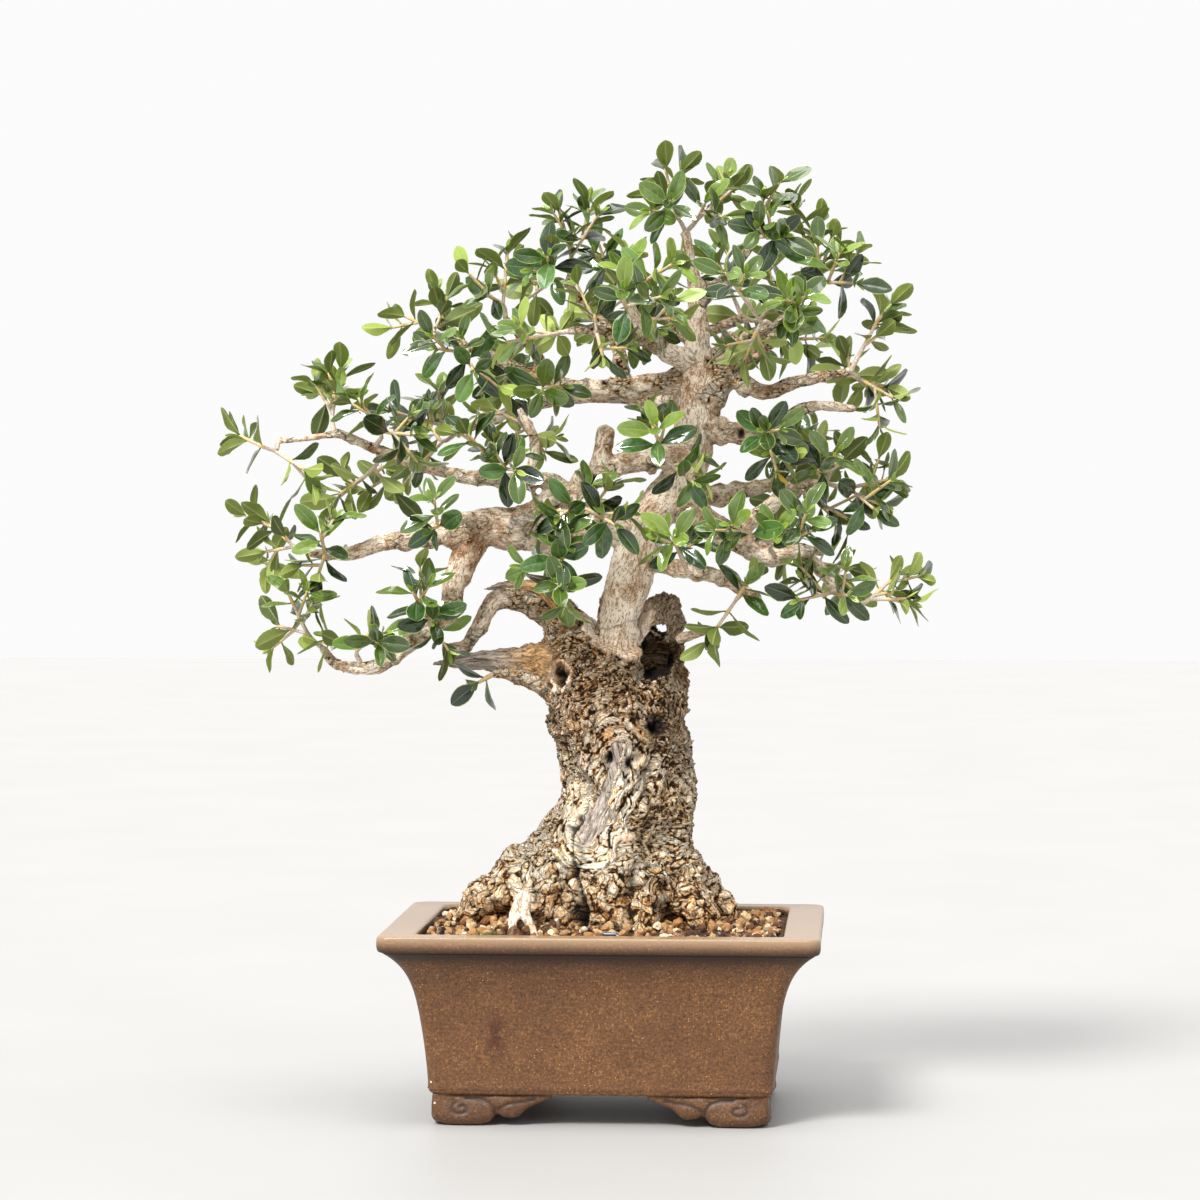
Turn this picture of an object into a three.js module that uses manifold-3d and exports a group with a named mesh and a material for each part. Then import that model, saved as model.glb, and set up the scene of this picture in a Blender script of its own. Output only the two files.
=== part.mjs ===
// Olive bonsai in a rectangular stoneware pot on cloud feet.
// Millimetres, +Z up, the front faces -Y. The origin is the middle of the footprint, on the ground.
import * as THREE from "three";
import { ConvexGeometry } from "three/addons/geometries/ConvexGeometry.js";
import { mergeVertices } from "three/addons/utils/BufferGeometryUtils.js";
import Module from "manifold-3d";

const wasm = await Module();
wasm.setup();

// ---- driving dimensions ----

const GAP = 0.35; // air between neighbouring pieces

const POT_WIDTH = 209.6; // across the rim
const POT_DEPTH = 160;
const POT_HEIGHT = 92; // from the ground to the top of the rim
const DEPTH_SHARE = POT_DEPTH / POT_WIDTH;
const RIM_HEIGHT = 7.5;
const RIM_LEDGE = 17.5; // flat top of the rim, from its edge to the opening
const RIM_CORNER = 6; // radius of the rim's corners, seen from above
const RIM_BEVEL = 1.2; // softened upper edge of the rim
const BODY_INSET = 22.6; // how far the body's lower end stands in from the rim, on each side
const RIM_OVERHANG = 1; // how far the rim stands out over the body's upper end
const LEAN_SHARE = 0.42; // share of the flare that is an even lean, and not its sharp upper curve
const LEAN_CURVE = 1.45; // powers of the lean and of that curve
const FLARE_CURVE = 8;
const BODY_BEVEL = 2.2; // rounded lower edge of the body
const WALL = 7;
const FLOOR = 6;
const FOOT_HEIGHT = 15;
const FOOT_THICK = 10;
const FRONT_FOOT = { bulb: 30, lobe: 42, tail: 57 }; // how far each swelling of a foot reaches
const SIDE_FOOT = { bulb: 24, lobe: 33, tail: 44 };
const FOOT_INSET = 2.3; // the feet stand in from the body's side
const DRAIN_RADIUS = 8;
const DRAIN_X = 38; // the two drain holes lie this far left and right of the middle

const SCREEN_SIZE = 30;
const SCREEN_THICK = 1.2;
const SCREEN_HOLE = 5.5;
const SCREEN_PITCH = 8;

const SOIL_TOP = 89.5;
const GRANULE_SIZE = 7; // radius of the larger granules
const GRANULE_SINK = 2; // how deep their middles lie under the soil's top
const GRANULE_COUNT = 30;
const GOLDEN_SHARE = 0.618034; // spreads the granules evenly
const NEBARI_RADIUS = 47; // no granules lie under the foot of the trunk
const ROOT_CLEARANCE = 2 * GAP; // the soil's holes are wider than the roots by this much

const WIRE_RADIUS = 1.1;
const WIRE_STEPS = 9;

const TRUNK_SIDES = 18;
const ROOT_SIDES = 6;
const FINE_SIDES = 5;

const FLUTE_DEPTH = 0.05; // relief of the trunk, as a share of its radius
const FINE_FLUTE_DEPTH = 0.035;
const CREVICE_DEPTH = 0.1;
const CREVICE_ANGLE = 1.75; // where the crevice stands on the trunk's front, in radians
const CREVICE_WIDTH = 0.16;
const KNOT_DEPTH = 0.06; // relief of the limbs
const KNOT_HOLES = [[-22, 212, 3.4], [26, 189, 3.8]]; // x, z and radius of the holes in the front
const KNOT_HOLE_Y = -27;

const LEAF_LENGTH = 17;
const LEAF_ASPECT = 0.52; // width over length
const LEAF_RIDGE = 1; // thickness over the midrib
const LEAF_CURL = 0.12; // how far the tip drops, over the length
const LEAF_FOOT = 0.5; // how far the leaf's pointed foot reaches past the middle of its shoot
const LEAF_SHOULDER = 0.5; // the widest place, over the length
const LEAF_END = 0.96; // where the blunt tip is cut, over the length
const LEAF_END_WIDTH = 0.13; // half width of the blunt tip, over the width
const RIDGE_END = 0.7; // where the midrib sinks into the blade, over the length
const NODE_SPACING = 4.5; // between two leaf pairs
const BUD_LENGTH = 1.6; // the shoot's tip beyond its last pair
const MAIN_PAIRS = 2; // leaf pairs at the end of a spray's main shoot
const SIDE_PAIRS = 1; // and of its side shoots
const PITCH = 0.75; // angle in radians between the youngest leaves and their shoot
const PITCH_STEP = 0.3; // each older pair opens wider by this much
const PITCH_SPREAD = 0.4;
const TURN_SPREAD = 0.5; // how unevenly leaves stand round the shoot, in radians
const SHORTEST = 0.8; // shares of the leaf's length and width that the draw varies
const LENGTH_SPREAD = 0.35;
const LENGTH_STEP = 0.08; // older leaves are longer by this share
const NARROWEST = 0.88;
const WIDTH_SPREAD = 0.24;
const FORK_SHARE = 0.35; // where the shoots part, on the way from the bark to the nearest tip
const TWIG_RADIUS = 1.2;
const SHOOT_RADIUS = 0.75;
const TWIG_SIDES = 3;
const BASE_STEP = 0.1; // a stem is moved out of the bark by this much at a time

// ---- materials ----

const finish = (color, roughness, metalness = 0) =>
  new THREE.MeshStandardMaterial({ color, roughness, metalness });

// ---- a seeded draw, alike on every run ----

function draws(seed) {
  let state = seed >>> 0;
  return () => {
    state = (state + 0x6d2b79f5) >>> 0;
    let mixed = Math.imul(state ^ (state >>> 15), state | 1);
    mixed = (mixed + Math.imul(mixed ^ (mixed >>> 7), mixed | 61)) ^ mixed;
    return ((mixed ^ (mixed >>> 14)) >>> 0) / 4294967296;
  };
}

// ---- solids ----

function solidOf(geometry) {
  const bare = geometry.clone();
  bare.deleteAttribute("normal");
  bare.deleteAttribute("uv");
  const merged = mergeVertices(bare, 1e-4);
  const vertProperties = new Float32Array(merged.attributes.position.array);
  const triVerts = new Uint32Array(merged.index.array);
  return new wasm.Manifold(new wasm.Mesh({ numProp: 3, vertProperties, triVerts }));
}

function geometryOf(solid) {
  const { vertProperties, triVerts } = solid.getMesh();
  const geometry = new THREE.BufferGeometry();
  geometry.setAttribute("position", new THREE.BufferAttribute(vertProperties, 3));
  geometry.setIndex(new THREE.BufferAttribute(triVerts, 1));
  geometry.computeVertexNormals();
  return geometry;
}

const joined = (solids) => solids.reduce((all, solid) => all.add(solid));

// The largest connected body of a solid: crumbs that a cut leaves are dropped.
function mainBody(solid) {
  const bodies = solid.decompose();
  return bodies.reduce((best, body) => (body.volume() > best.volume() ? body : best));
}

const vector = ([x, y, z]) => new THREE.Vector3(x, y, z);
const lowest = (points) => Math.min(...points.map((point) => point[2]));

function movePoints(geometry, move) {
  const place = geometry.attributes.position;
  const point = new THREE.Vector3();
  for (let i = 0; i < place.count; i += 1) {
    point.fromBufferAttribute(place, i);
    move(point);
    place.setXYZ(i, point.x, point.y, point.z);
  }
  return geometry;
}

function perpendicular(direction) {
  const helper = Math.abs(direction.z) < 0.9 ? new THREE.Vector3(0, 0, 1) : new THREE.Vector3(1, 0, 0);
  return helper.addScaledVector(direction, -helper.dot(direction)).normalize();
}

// A tapered limb along [x, y, z, radius] points: a cylinder with one ring laid at each point of the curve.
// relief(angle, share along) scales the radius.
function limbGeometry(points, sides, relief = () => 1) {
  const path = new THREE.CatmullRomCurve3(points.map(vector), false, "catmullrom");
  const steps = points.length - 1;
  const rings = [];
  let normal = perpendicular(path.getTangent(0));
  for (let i = 0; i <= steps; i += 1) {
    const tangent = path.getTangent(i / steps);
    normal = normal.clone().addScaledVector(tangent, -normal.dot(tangent)).normalize();
    rings.push({ normal, side: new THREE.Vector3().crossVectors(normal, tangent) });
  }
  return movePoints(new THREE.CylinderGeometry(1, 1, 1, sides, steps), (point) => {
    const index = Math.round((point.y + 0.5) * steps);
    const onAxis = Math.hypot(point.x, point.z) < 0.5;
    const radius = onAxis ? 0 : points[index][3] * relief(Math.atan2(point.z, point.x), index / steps);
    const { normal: across, side } = rings[index];
    const { x, z } = point;
    point.copy(vector(points[index])).addScaledVector(across, x * radius).addScaledVector(side, z * radius);
  });
}

const limbSolid = (...settings) => solidOf(limbGeometry(...settings));

// ---- the pot ----

function roundedRectangle(halfWidth, halfDepth, corner) {
  const shape = new THREE.Shape();
  shape.moveTo(halfWidth, -halfDepth + corner);
  shape.absarc(halfWidth - corner, halfDepth - corner, corner, 0, Math.PI / 2);
  shape.absarc(-halfWidth + corner, halfDepth - corner, corner, Math.PI / 2, Math.PI);
  shape.absarc(-halfWidth + corner, -halfDepth + corner, corner, Math.PI, 1.5 * Math.PI);
  shape.absarc(halfWidth - corner, -halfDepth + corner, corner, 1.5 * Math.PI, 2 * Math.PI);
  return shape;
}

// A rounded box whose half width at height z is halfAt(z): the depth keeps the pot's proportion.
function loftedBox(heights, halfAt, corner) {
  const halfWidth = POT_WIDTH / 2;
  const halfDepth = POT_DEPTH / 2;
  const shape = roundedRectangle(halfWidth, halfDepth, corner);
  const settings = { depth: 1, steps: heights.length - 1, bevelEnabled: false, curveSegments: 2 };
  return movePoints(new THREE.ExtrudeGeometry(shape, settings), (point) => {
    const z = heights[Math.round(point.z * (heights.length - 1))];
    const inset = halfWidth - halfAt(z);
    point.x -= Math.sign(point.x) * inset;
    point.y -= Math.sign(point.y) * inset * DEPTH_SHARE;
    point.z = z;
  });
}

const BODY_TOP = POT_HEIGHT - RIM_HEIGHT;
const INNER_LEVELS = [54, 72, 82]; // heights where the inside bends

function bodyHalfWidth(z) {
  const share = Math.max(0, (z - FOOT_HEIGHT) / (BODY_TOP - FOOT_HEIGHT));
  const flare = LEAN_SHARE * share ** LEAN_CURVE + (1 - LEAN_SHARE) * share ** FLARE_CURVE;
  return POT_WIDTH / 2 - BODY_INSET + (BODY_INSET - RIM_OVERHANG) * flare;
}

function innerHalfWidth(z) {
  return Math.min(bodyHalfWidth(z) - WALL, POT_WIDTH / 2 - RIM_LEDGE);
}

function outerHalfWidth(z) {
  const edge = POT_WIDTH / 2;
  if (z >= POT_HEIGHT) return edge - RIM_BEVEL;
  if (z >= BODY_TOP) return edge;
  return z > FOOT_HEIGHT ? bodyHalfWidth(z) : bodyHalfWidth(z) - BODY_BEVEL;
}

// One side of a cloud foot: a fat round bulb at the corner, a small lobe, and a tapering tail. It reaches
// a little into the body above it.
function footProfile({ bulb, lobe, tail }) {
  const top = FOOT_HEIGHT + 1;
  const shape = new THREE.Shape();
  shape.moveTo(0, top);
  shape.lineTo(0, 5);
  shape.quadraticCurveTo(1, 0, 7, 0);
  shape.lineTo(bulb - 8, 0);
  shape.quadraticCurveTo(bulb, 0, bulb, 6);
  shape.quadraticCurveTo(bulb + 2, 3.2, lobe - 4, 3.4);
  shape.quadraticCurveTo(lobe, 4, lobe + 1, 8.5);
  shape.quadraticCurveTo(lobe + 5, top - 2.5, tail, top - 1.5);
  shape.lineTo(tail, top);
  return shape;
}

function cornerFoot() {
  const halfWidth = bodyHalfWidth(FOOT_HEIGHT) - FOOT_INSET;
  const halfDepth = POT_DEPTH / 2 - (POT_WIDTH / 2 - halfWidth) * DEPTH_SHARE;
  const settings = { depth: FOOT_THICK, bevelEnabled: false, curveSegments: 2 };
  const front = new THREE.ExtrudeGeometry(footProfile(FRONT_FOOT), settings);
  front.rotateX(Math.PI / 2);
  front.translate(-halfWidth, -halfDepth + FOOT_THICK, 0);
  const side = new THREE.ExtrudeGeometry(footProfile(SIDE_FOOT), settings);
  side.rotateX(Math.PI / 2);
  side.rotateZ(Math.PI / 2);
  side.translate(-halfWidth, -halfDepth, 0);
  return solidOf(front).add(solidOf(side));
}

function mirrored(solid, flipX, flipY) {
  const turned = geometryOf(solid).scale(flipX ? -1 : 1, flipY ? -1 : 1, 1);
  if (flipX !== flipY) {
    const index = turned.index.array;
    for (let i = 0; i < index.length; i += 3) [index[i], index[i + 1]] = [index[i + 1], index[i]];
  }
  return solidOf(turned);
}

function potSolid() {
  const flare = [FOOT_HEIGHT, FOOT_HEIGHT + BODY_BEVEL, 45, 60, 69, 75, 80, BODY_TOP - RIM_BEVEL / 2];
  const outside = [...flare, BODY_TOP, POT_HEIGHT - RIM_BEVEL, POT_HEIGHT];
  const inside = [FOOT_HEIGHT + FLOOR, ...INNER_LEVELS, POT_HEIGHT + 1];
  let pot = solidOf(loftedBox(outside, outerHalfWidth, RIM_CORNER));
  pot = pot.subtract(solidOf(loftedBox(inside, innerHalfWidth, RIM_CORNER + 3)));
  const foot = cornerFoot();
  for (const flipX of [false, true]) {
    for (const flipY of [false, true]) pot = pot.add(mirrored(foot, flipX, flipY));
  }
  for (const x of [-DRAIN_X, DRAIN_X]) {
    const drill = new THREE.CylinderGeometry(DRAIN_RADIUS, DRAIN_RADIUS, 4 * FLOOR, 12);
    pot = pot.subtract(solidOf(drill.rotateX(Math.PI / 2).translate(x, 0, FOOT_HEIGHT)));
  }
  return pot;
}

// A square plastic screen that lies over a drain hole and keeps the soil in.
function screenSolid(x) {
  const z = FOOT_HEIGHT + FLOOR + GAP + SCREEN_THICK / 2;
  let screen = solidOf(new THREE.BoxGeometry(SCREEN_SIZE, SCREEN_SIZE, SCREEN_THICK).translate(x, 0, z));
  for (const i of [-1, 0, 1]) {
    for (const j of [-1, 0, 1]) {
      const hole = new THREE.BoxGeometry(SCREEN_HOLE, SCREEN_HOLE, 3 * SCREEN_THICK);
      screen = screen.subtract(solidOf(hole.translate(x + i * SCREEN_PITCH, j * SCREEN_PITCH, z)));
    }
  }
  return screen;
}

// ---- the wood: limbs as [x, y, z, radius] ----

const ROOTS = [
  [[-22, -4, 126, 18], [-51, -9, 107, 14], [-67, -12, 93, 8.5], [-75, -13, 74, 3]],
  [[-18, -12, 130, 17], [-29, -31, 106, 13.5], [-38, -48, 85, 7.6], [-42, -56, 70, 4]],
  [[14, -12, 126, 21], [15, -31, 104, 16.5], [19, -48, 85, 9], [22, -57, 70, 5]],
  [[24, -6, 122, 19], [44, -24, 101, 12.5], [53, -38, 84, 6.2], [57, -44, 73, 4]],
  [[22, 2, 122, 20], [46, 3, 103, 13.5], [61, 2, 87, 7.6], [67, 0, 73, 4]],
  [[-10, 14, 120, 19], [-24, 32, 100, 12.5], [-35, 47, 83, 7], [-40, 54, 71, 4]],
  [[18, 14, 120, 19], [32, 32, 100, 12.5], [43, 46, 83, 7], [48, 54, 71, 4]],
];
const FEEDER_ROOTS = [
  [[-36, -28, 106, 3.6], [-45, -44, 96, 3.2], [-46, -53, 73, 2.4]],
  [[-34, -30, 106, 3.6], [-37, -48, 95, 3.2], [-32, -57, 73, 2.4]],
];

const TRUNK = [
  [-2, 0, 68, 50], [-3, 0, 86, 49], [-2, 0, 106, 47], [3, 0, 122, 43.5], [7, 0, 134, 38.5],
  [11, 0, 148, 33.5], [12, 0, 163, 32.5], [8, 0, 177, 33.5], [3, 0, 194, 34], [-3, 0, 210, 30],
  [-10, 3, 228, 15],
];
const SHOULDER = [[-8, 3, 204, 24], [-16, 3, 224, 18], [-22, 2, 238, 12], [-27, 2, 247, 8]];
const STUMP = [[16, 6, 186, 18], [23, 8, 207, 17], [23, 8, 224, 14], [25, 8, 238, 13], [26, 7, 249, 8]];
const STUMP_HOLLOW = [[21, -24, 213, 5], [23, -12, 219, 8], [24, 4, 224, 9.5], [25, 12, 227, 6]];
const STUMP_WINDOW = [[25, -12, 234, 3], [26, 32, 235, 3]];

const LEADER = [
  [0, -1, 200, 15], [2, -4, 222, 12.5], [5, -4, 237, 10.4], [11, -3, 260, 10.8], [20, 0, 287, 10.4],
  [31, 2, 300, 10.2], [39, 4, 315, 10.2], [43, 5, 335, 10.8], [42, 4, 356, 8], [44, 3, 386, 4.8],
  [38, 0, 428, 2.3],
];
const LEFT_LIMB = [
  [12, -1, 280, 8], [-5, -4, 288, 8.8], [-26, -7, 284, 9.4], [-43, -9, 283, 10.6], [-62, -10, 285, 8],
  [-86, -13, 281, 5.6], [-108, -13, 277, 4.4], [-128, -12, 271, 3.2], [-145, -9, 272, 2.3],
];
const LOWER_LEFT = [
  [-62, -10, 282, 7], [-72, -14, 262, 6.2], [-77, -20, 243, 5], [-95, -26, 228, 4], [-110, -27, 217, 3.5],
  [-130, -24, 218, 2.6], [-138, -20, 226, 2],
];
const JIN = [
  [-14, 0, 211, 18], [-30, -3, 215.5, 14.5], [-42, -5, 217, 9.8], [-54, -7, 219, 6], [-68, -9, 219, 4.4],
  [-85, -12, 217.5, 1.2],
];
const JIN_SLIVER = [[-18, -8, 238, 5], [-29, -13, 253, 3.6], [-44, -12, 257, 2.6], [-60, -10, 254, 1]];
const UNDER_TWIG = [[-26, -8, 208, 6], [-46, -14, 213, 3], [-55, -17, 213, 1.8]];
const LOWER_LIVE = [
  [-20, 5, 236, 9], [-34, 5, 246, 6.6], [-54, 2, 249, 4.8], [-63, -2, 236, 3.8], [-70, -5, 226, 3],
  [-79, -6, 226, 2],
];
const S_LIMB = [
  [39, 0, 320, 7], [20, -6, 318, 6], [-1, -12, 312, 5.6], [-16, -14, 301, 5.2], [-31, -13, 296, 5.2],
  [-41, -10, 280, 6],
];
const KNOT_SPUR = [[-3, -12, 313, 5], [0, -14, 332, 4.4]];
const LEFT_BRANCH = [
  [-18, -13, 301, 5], [-30, -11, 307, 4.2], [-63, -8, 308, 3.4], [-95, -9, 316, 2.9], [-133, -12, 331, 2.1],
];
const LEFT_TWIG = [[-129, -12, 330, 1.9], [-160, -16, 326, 1.4]];
const BRANCH_RISE = [[-38, -9, 307, 3], [-36, 0, 326, 2.6], [-44, 8, 342, 2]];
const CROWN_LEFT = [
  [42, 5, 355, 6], [20, 4, 354, 5.2], [-12, 2, 352, 4], [-38, 1, 359, 3.4], [-60, -1, 369, 2.8],
  [-86, 0, 379, 2],
];
const UPPER_LEFT = [[-30, 1, 355, 3.2], [-36, 1, 370, 2.8], [-50, -1, 386, 2]];
const CROWN_RISE = [[8, 3, 355, 3.8], [3, 1, 376, 3.2], [-14, 0, 395, 2.6], [-20, 2, 404, 2]];
const PALE_LIMB = [[42, 3, 364, 6], [24, -7, 373, 4.4], [9, -20, 395, 2.2]];
const BURR = [[44, 4, 340, 8], [54, 3, 354, 7.2], [58, 0, 369, 7.2], [60, -1, 377, 4.4]];
const CROWN_RIGHT = [[58, 1, 366, 5.4], [70, 0, 368, 4.4], [86, -1, 385, 3.4], [99, 0, 402, 2.2]];
const CROWN_TOP_RIGHT = [[43, 3, 392, 3.6], [58, 1, 407, 2.8], [69, -1, 420, 2.1]];
const RIGHT_BRANCH = [[57, 1, 360, 5], [76, -4, 350, 3.9], [92, -4, 355, 3.2], [118, -2, 360, 2.1]];
const RIGHT_KNOT_BRANCH = [
  [46, 2, 333, 6], [66, -6, 330, 5], [82, -6, 334, 3.6], [98, -4, 343, 2.8], [120, -2, 342, 2],
];
const RIGHT_LIMB = [
  [32, 2, 297, 8.6], [48, -2, 287, 7.4], [66, -7, 276, 6], [80, -9, 270, 5], [97, -9, 270, 3.6],
  [119, -12, 246, 1.9],
];
const RIGHT_RISE = [[60, -5, 281, 5], [80, -2, 295, 3.8], [87, 0, 304, 2.9], [106, 3, 306, 2]];
const LOW_RIGHT = [[14, -3, 270, 6], [32, -9, 265, 4.4], [56, -14, 260, 3.4], [74, -16, 249, 3]];
const STUMP_TWIG = [[34, 3, 230, 3], [51, -5, 234, 1.5]];
const BACK_LEFT = [
  [42, 6, 340, 7], [26, 28, 347, 5.2], [-10, 46, 350, 4], [-46, 54, 344, 3], [-80, 52, 331, 2.2],
];
const BACK_CROWN = [[43, 5, 366, 5.4], [38, 28, 378, 4], [20, 60, 398, 2.2]];
const BACK_CROWN_RIGHT = [[38, 26, 377, 3.6], [64, 46, 388, 2.4]];
const BACK_RIGHT = [[34, 4, 300, 7], [54, 27, 300, 4.8], [90, 42, 308, 2.4]];
const BACK_RIGHT_LOW = [[64, -4, 278, 4.6], [84, 12, 275, 3.2], [104, 19, 272, 2.1]];
const FRONT_CROWN = [[24, -6, 374, 4], [12, -34, 376, 3], [-4, -44, 379, 2.4], [-16, -48, 378, 1.8]];
const FRONT_CROWN_RIGHT = [[58, 0, 368, 4.6], [73, -25, 377, 3], [86, -36, 382, 2]];
const FRONT_LEFT = [[-56, -12, 286, 6], [-66, -24, 289, 3.2], [-74, -34, 288, 2.2]];

// The live limbs, which sprays may grow from, each with the number of sides of its section.
const LIMBS = [
  [LEADER, 9], [LEFT_LIMB, 8], [LOWER_LEFT, 6], [LOWER_LIVE, 6], [UNDER_TWIG, 4], [S_LIMB, 7], [KNOT_SPUR, 6],
  [LEFT_BRANCH, 5], [LEFT_TWIG, 4], [BRANCH_RISE, 4], [CROWN_LEFT, 6], [UPPER_LEFT, 4], [CROWN_RISE, 4],
  [PALE_LIMB, 5], [BURR, 7], [CROWN_RIGHT, 5], [CROWN_TOP_RIGHT, 4], [RIGHT_BRANCH, 5],
  [RIGHT_KNOT_BRANCH, 5], [RIGHT_LIMB, 6], [RIGHT_RISE, 5], [LOW_RIGHT, 5], [STUMP_TWIG, 4],
  [BACK_LEFT, 5], [BACK_CROWN, 5], [BACK_CROWN_RIGHT, 4], [BACK_RIGHT, 5], [BACK_RIGHT_LOW, 4],
  [FRONT_CROWN, 5], [FRONT_CROWN_RIGHT, 5], [FRONT_LEFT, 5],
];

// Flutes of the old trunk and its deep front crevice, over the angle seen from above.
function trunkRelief(angle, share) {
  const flutes = FLUTE_DEPTH * Math.sin(5 * angle + 9 * share);
  const fineFlutes = FINE_FLUTE_DEPTH * Math.sin(9 * angle - 14 * share);
  const turn = angle - CREVICE_ANGLE - share / 2;
  const fromCrevice = Math.atan2(Math.sin(turn), Math.cos(turn));
  const crevice = CREVICE_DEPTH * Math.exp(-((fromCrevice / CREVICE_WIDTH) ** 2));
  return 1 + flutes + fineFlutes - crevice;
}

function barkRelief(seed) {
  return (angle, share) =>
    1 + KNOT_DEPTH * Math.sin(2 * angle + 31 * share + seed) + KNOT_DEPTH * Math.sin(3 * angle - 47 * share);
}

// ---- leafy sprays: each a few shoots, given by the middle of the leaf tuft at its end ----

const SPRAYS = [
  [[-154, -25, 253], [-161, -10, 236]],
  [[-105, -45, 234], [-134, -30, 232]],
  [[-90, -50, 254], [-80, -50, 240]],
  [[-62, -24, 209]],
  [[-167, 2, 287], [-170, 6, 272]],
  [[-137, -32, 282], [-139, -24, 262]],
  [[-138, 16, 296], [-107, 20, 301]],
  [[-81, -48, 284]],
  [[-179, -20, 329], [-145, -27, 312]],
  [[-131, 0, 362], [-145, 20, 353]],
  [[-120, -20, 347], [-92, -28, 329]],
  [[-111, 30, 342], [-88, 42, 346]],
  [[-95, 72, 334], [-108, 54, 304]],
  [[-66, -36, 330], [-41, -50, 312]],
  [[-33, 24, 321], [-57, 16, 342]],
  [[-101, 8, 388], [-79, 28, 386]],
  [[-82, -20, 371], [-62, -36, 359]],
  [[-58, -15, 397], [-50, 8, 419]],
  [[-52, 22, 358], [-60, 84, 354]],
  [[-30, -32, 350]],
  [[-28, -20, 415], [-44, 50, 398]],
  [[-22, -40, 377], [-44, -68, 372]],
  [[-8, 22, 419], [-12, 80, 388]],
  [[-24, 0, 439], [-4, -12, 436]],
  [[1, -52, 366], [-3, -52, 386]],
  [[10, -32, 409], [34, -46, 410]],
  [[12, 38, 389], [20, 88, 384]],
  [[22, -20, 437], [28, 0, 459]],
  [[48, -15, 441], [62, 10, 451]],
  [[76, -15, 443], [86, -30, 424]],
  [[90, 15, 444], [112, 16, 419]],
  [[52, 46, 416], [66, 80, 384]],
  [[67, -34, 364], [60, -74, 404]],
  [[38, -56, 384], [12, -78, 396]],
  [[84, 42, 404], [98, 66, 372]],
  [[102, 2, 412], [121, -20, 402]],
  [[133, -4, 388]],
  [[92, -42, 378], [97, -64, 394]],
  [[113, 26, 361], [139, 0, 347]],
  [[26, -56, 333], [44, -52, 306]],
  [[77, -36, 331], [83, -28, 311]],
  [[88, 26, 327], [100, 68, 318]],
  [[102, -10, 312], [117, 15, 318]],
  [[139, 5, 308], [130, -15, 293]],
  [[117, 26, 288], [84, 56, 294]],
  [[100, -40, 283], [62, -50, 286]],
  [[34, -52, 281]],
  [[7, -52, 286], [-20, -48, 290]],
  [[-19, -52, 269], [-17, -48, 247]],
  [[68, -28, 257], [54, -22, 236]],
  [[72, 30, 268], [117, 24, 264]],
  [[141, 0, 262], [145, -12, 250]],
  [[117, -26, 252], [94, -36, 250]],
];

// The nearest place on any limb's centre line: where a spray's twig grows from.
function nearestOnLimbs(target) {
  let best = { distance: Infinity };
  for (const [points] of LIMBS) {
    const buried = points.length > 2 ? 1 : 0; // the stretch that lies inside the parent limb
    for (let i = buried; i < points.length - 1; i += 1) {
      const end = vector(points[i + 1]);
      const start = buried ? vector(points[i]) : vector(points[i]).lerp(end, 0.5);
      const middle = new THREE.Line3(start, end).closestPointToPoint(target, true, new THREE.Vector3());
      const distance = middle.distanceTo(target);
      if (distance < best.distance) best = { distance, middle };
    }
  }
  return best;
}

// Where a spray leaves the wood, and which way: straight out from the limb towards the middle of its tips.
function sprayPlan(tips, woodMesh) {
  const centre = new THREE.Box3().setFromPoints(tips.map(vector)).getCenter(new THREE.Vector3());
  const { middle } = nearestOnLimbs(centre);
  const direction = centre.clone().sub(middle).normalize();
  const [bark] = new THREE.Raycaster(middle, direction).intersectObject(woodMesh);
  return { direction, base: bark.point.clone().addScaledVector(direction, GAP) };
}

// The main shoot runs from the base over the fork to the first tip. Side shoots leave it at the fork.
function forkPoint({ base, direction }, tips) {
  const reach = Math.min(...tips.map((tip) => vector(tip).distanceTo(base)));
  return base.clone().addScaledVector(direction, FORK_SHARE * reach);
}

// One leaf along +X from the origin, upper side +Z: a pointed foot, two shoulders and a blunt tip under a
// low ridge for the midrib. A grown one is thicker and wider all round, to test for room.
function leafGeometry(length, width, grow) {
  const ridge = LEAF_RIDGE + grow;
  const points = [new THREE.Vector3(0, 0, ridge), new THREE.Vector3(RIDGE_END * length, 0, ridge)];
  const outline = [
    [-LEAF_FOOT - grow, grow],
    [LEAF_SHOULDER * length, width / 2 + grow],
    [LEAF_END * length + grow, LEAF_END_WIDTH * width + grow],
  ];
  for (const [x, y] of outline) {
    for (const side of y > 0 ? [-1, 1] : [1]) {
      points.push(new THREE.Vector3(x, side * y, -grow));
      if (grow > 0) points.push(new THREE.Vector3(x, side * y, grow));
    }
  }
  return movePoints(new ConvexGeometry(points), (point) => {
    point.z -= (LEAF_CURL * point.x * point.x) / length + LEAF_RIDGE / 2;
  });
}

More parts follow.
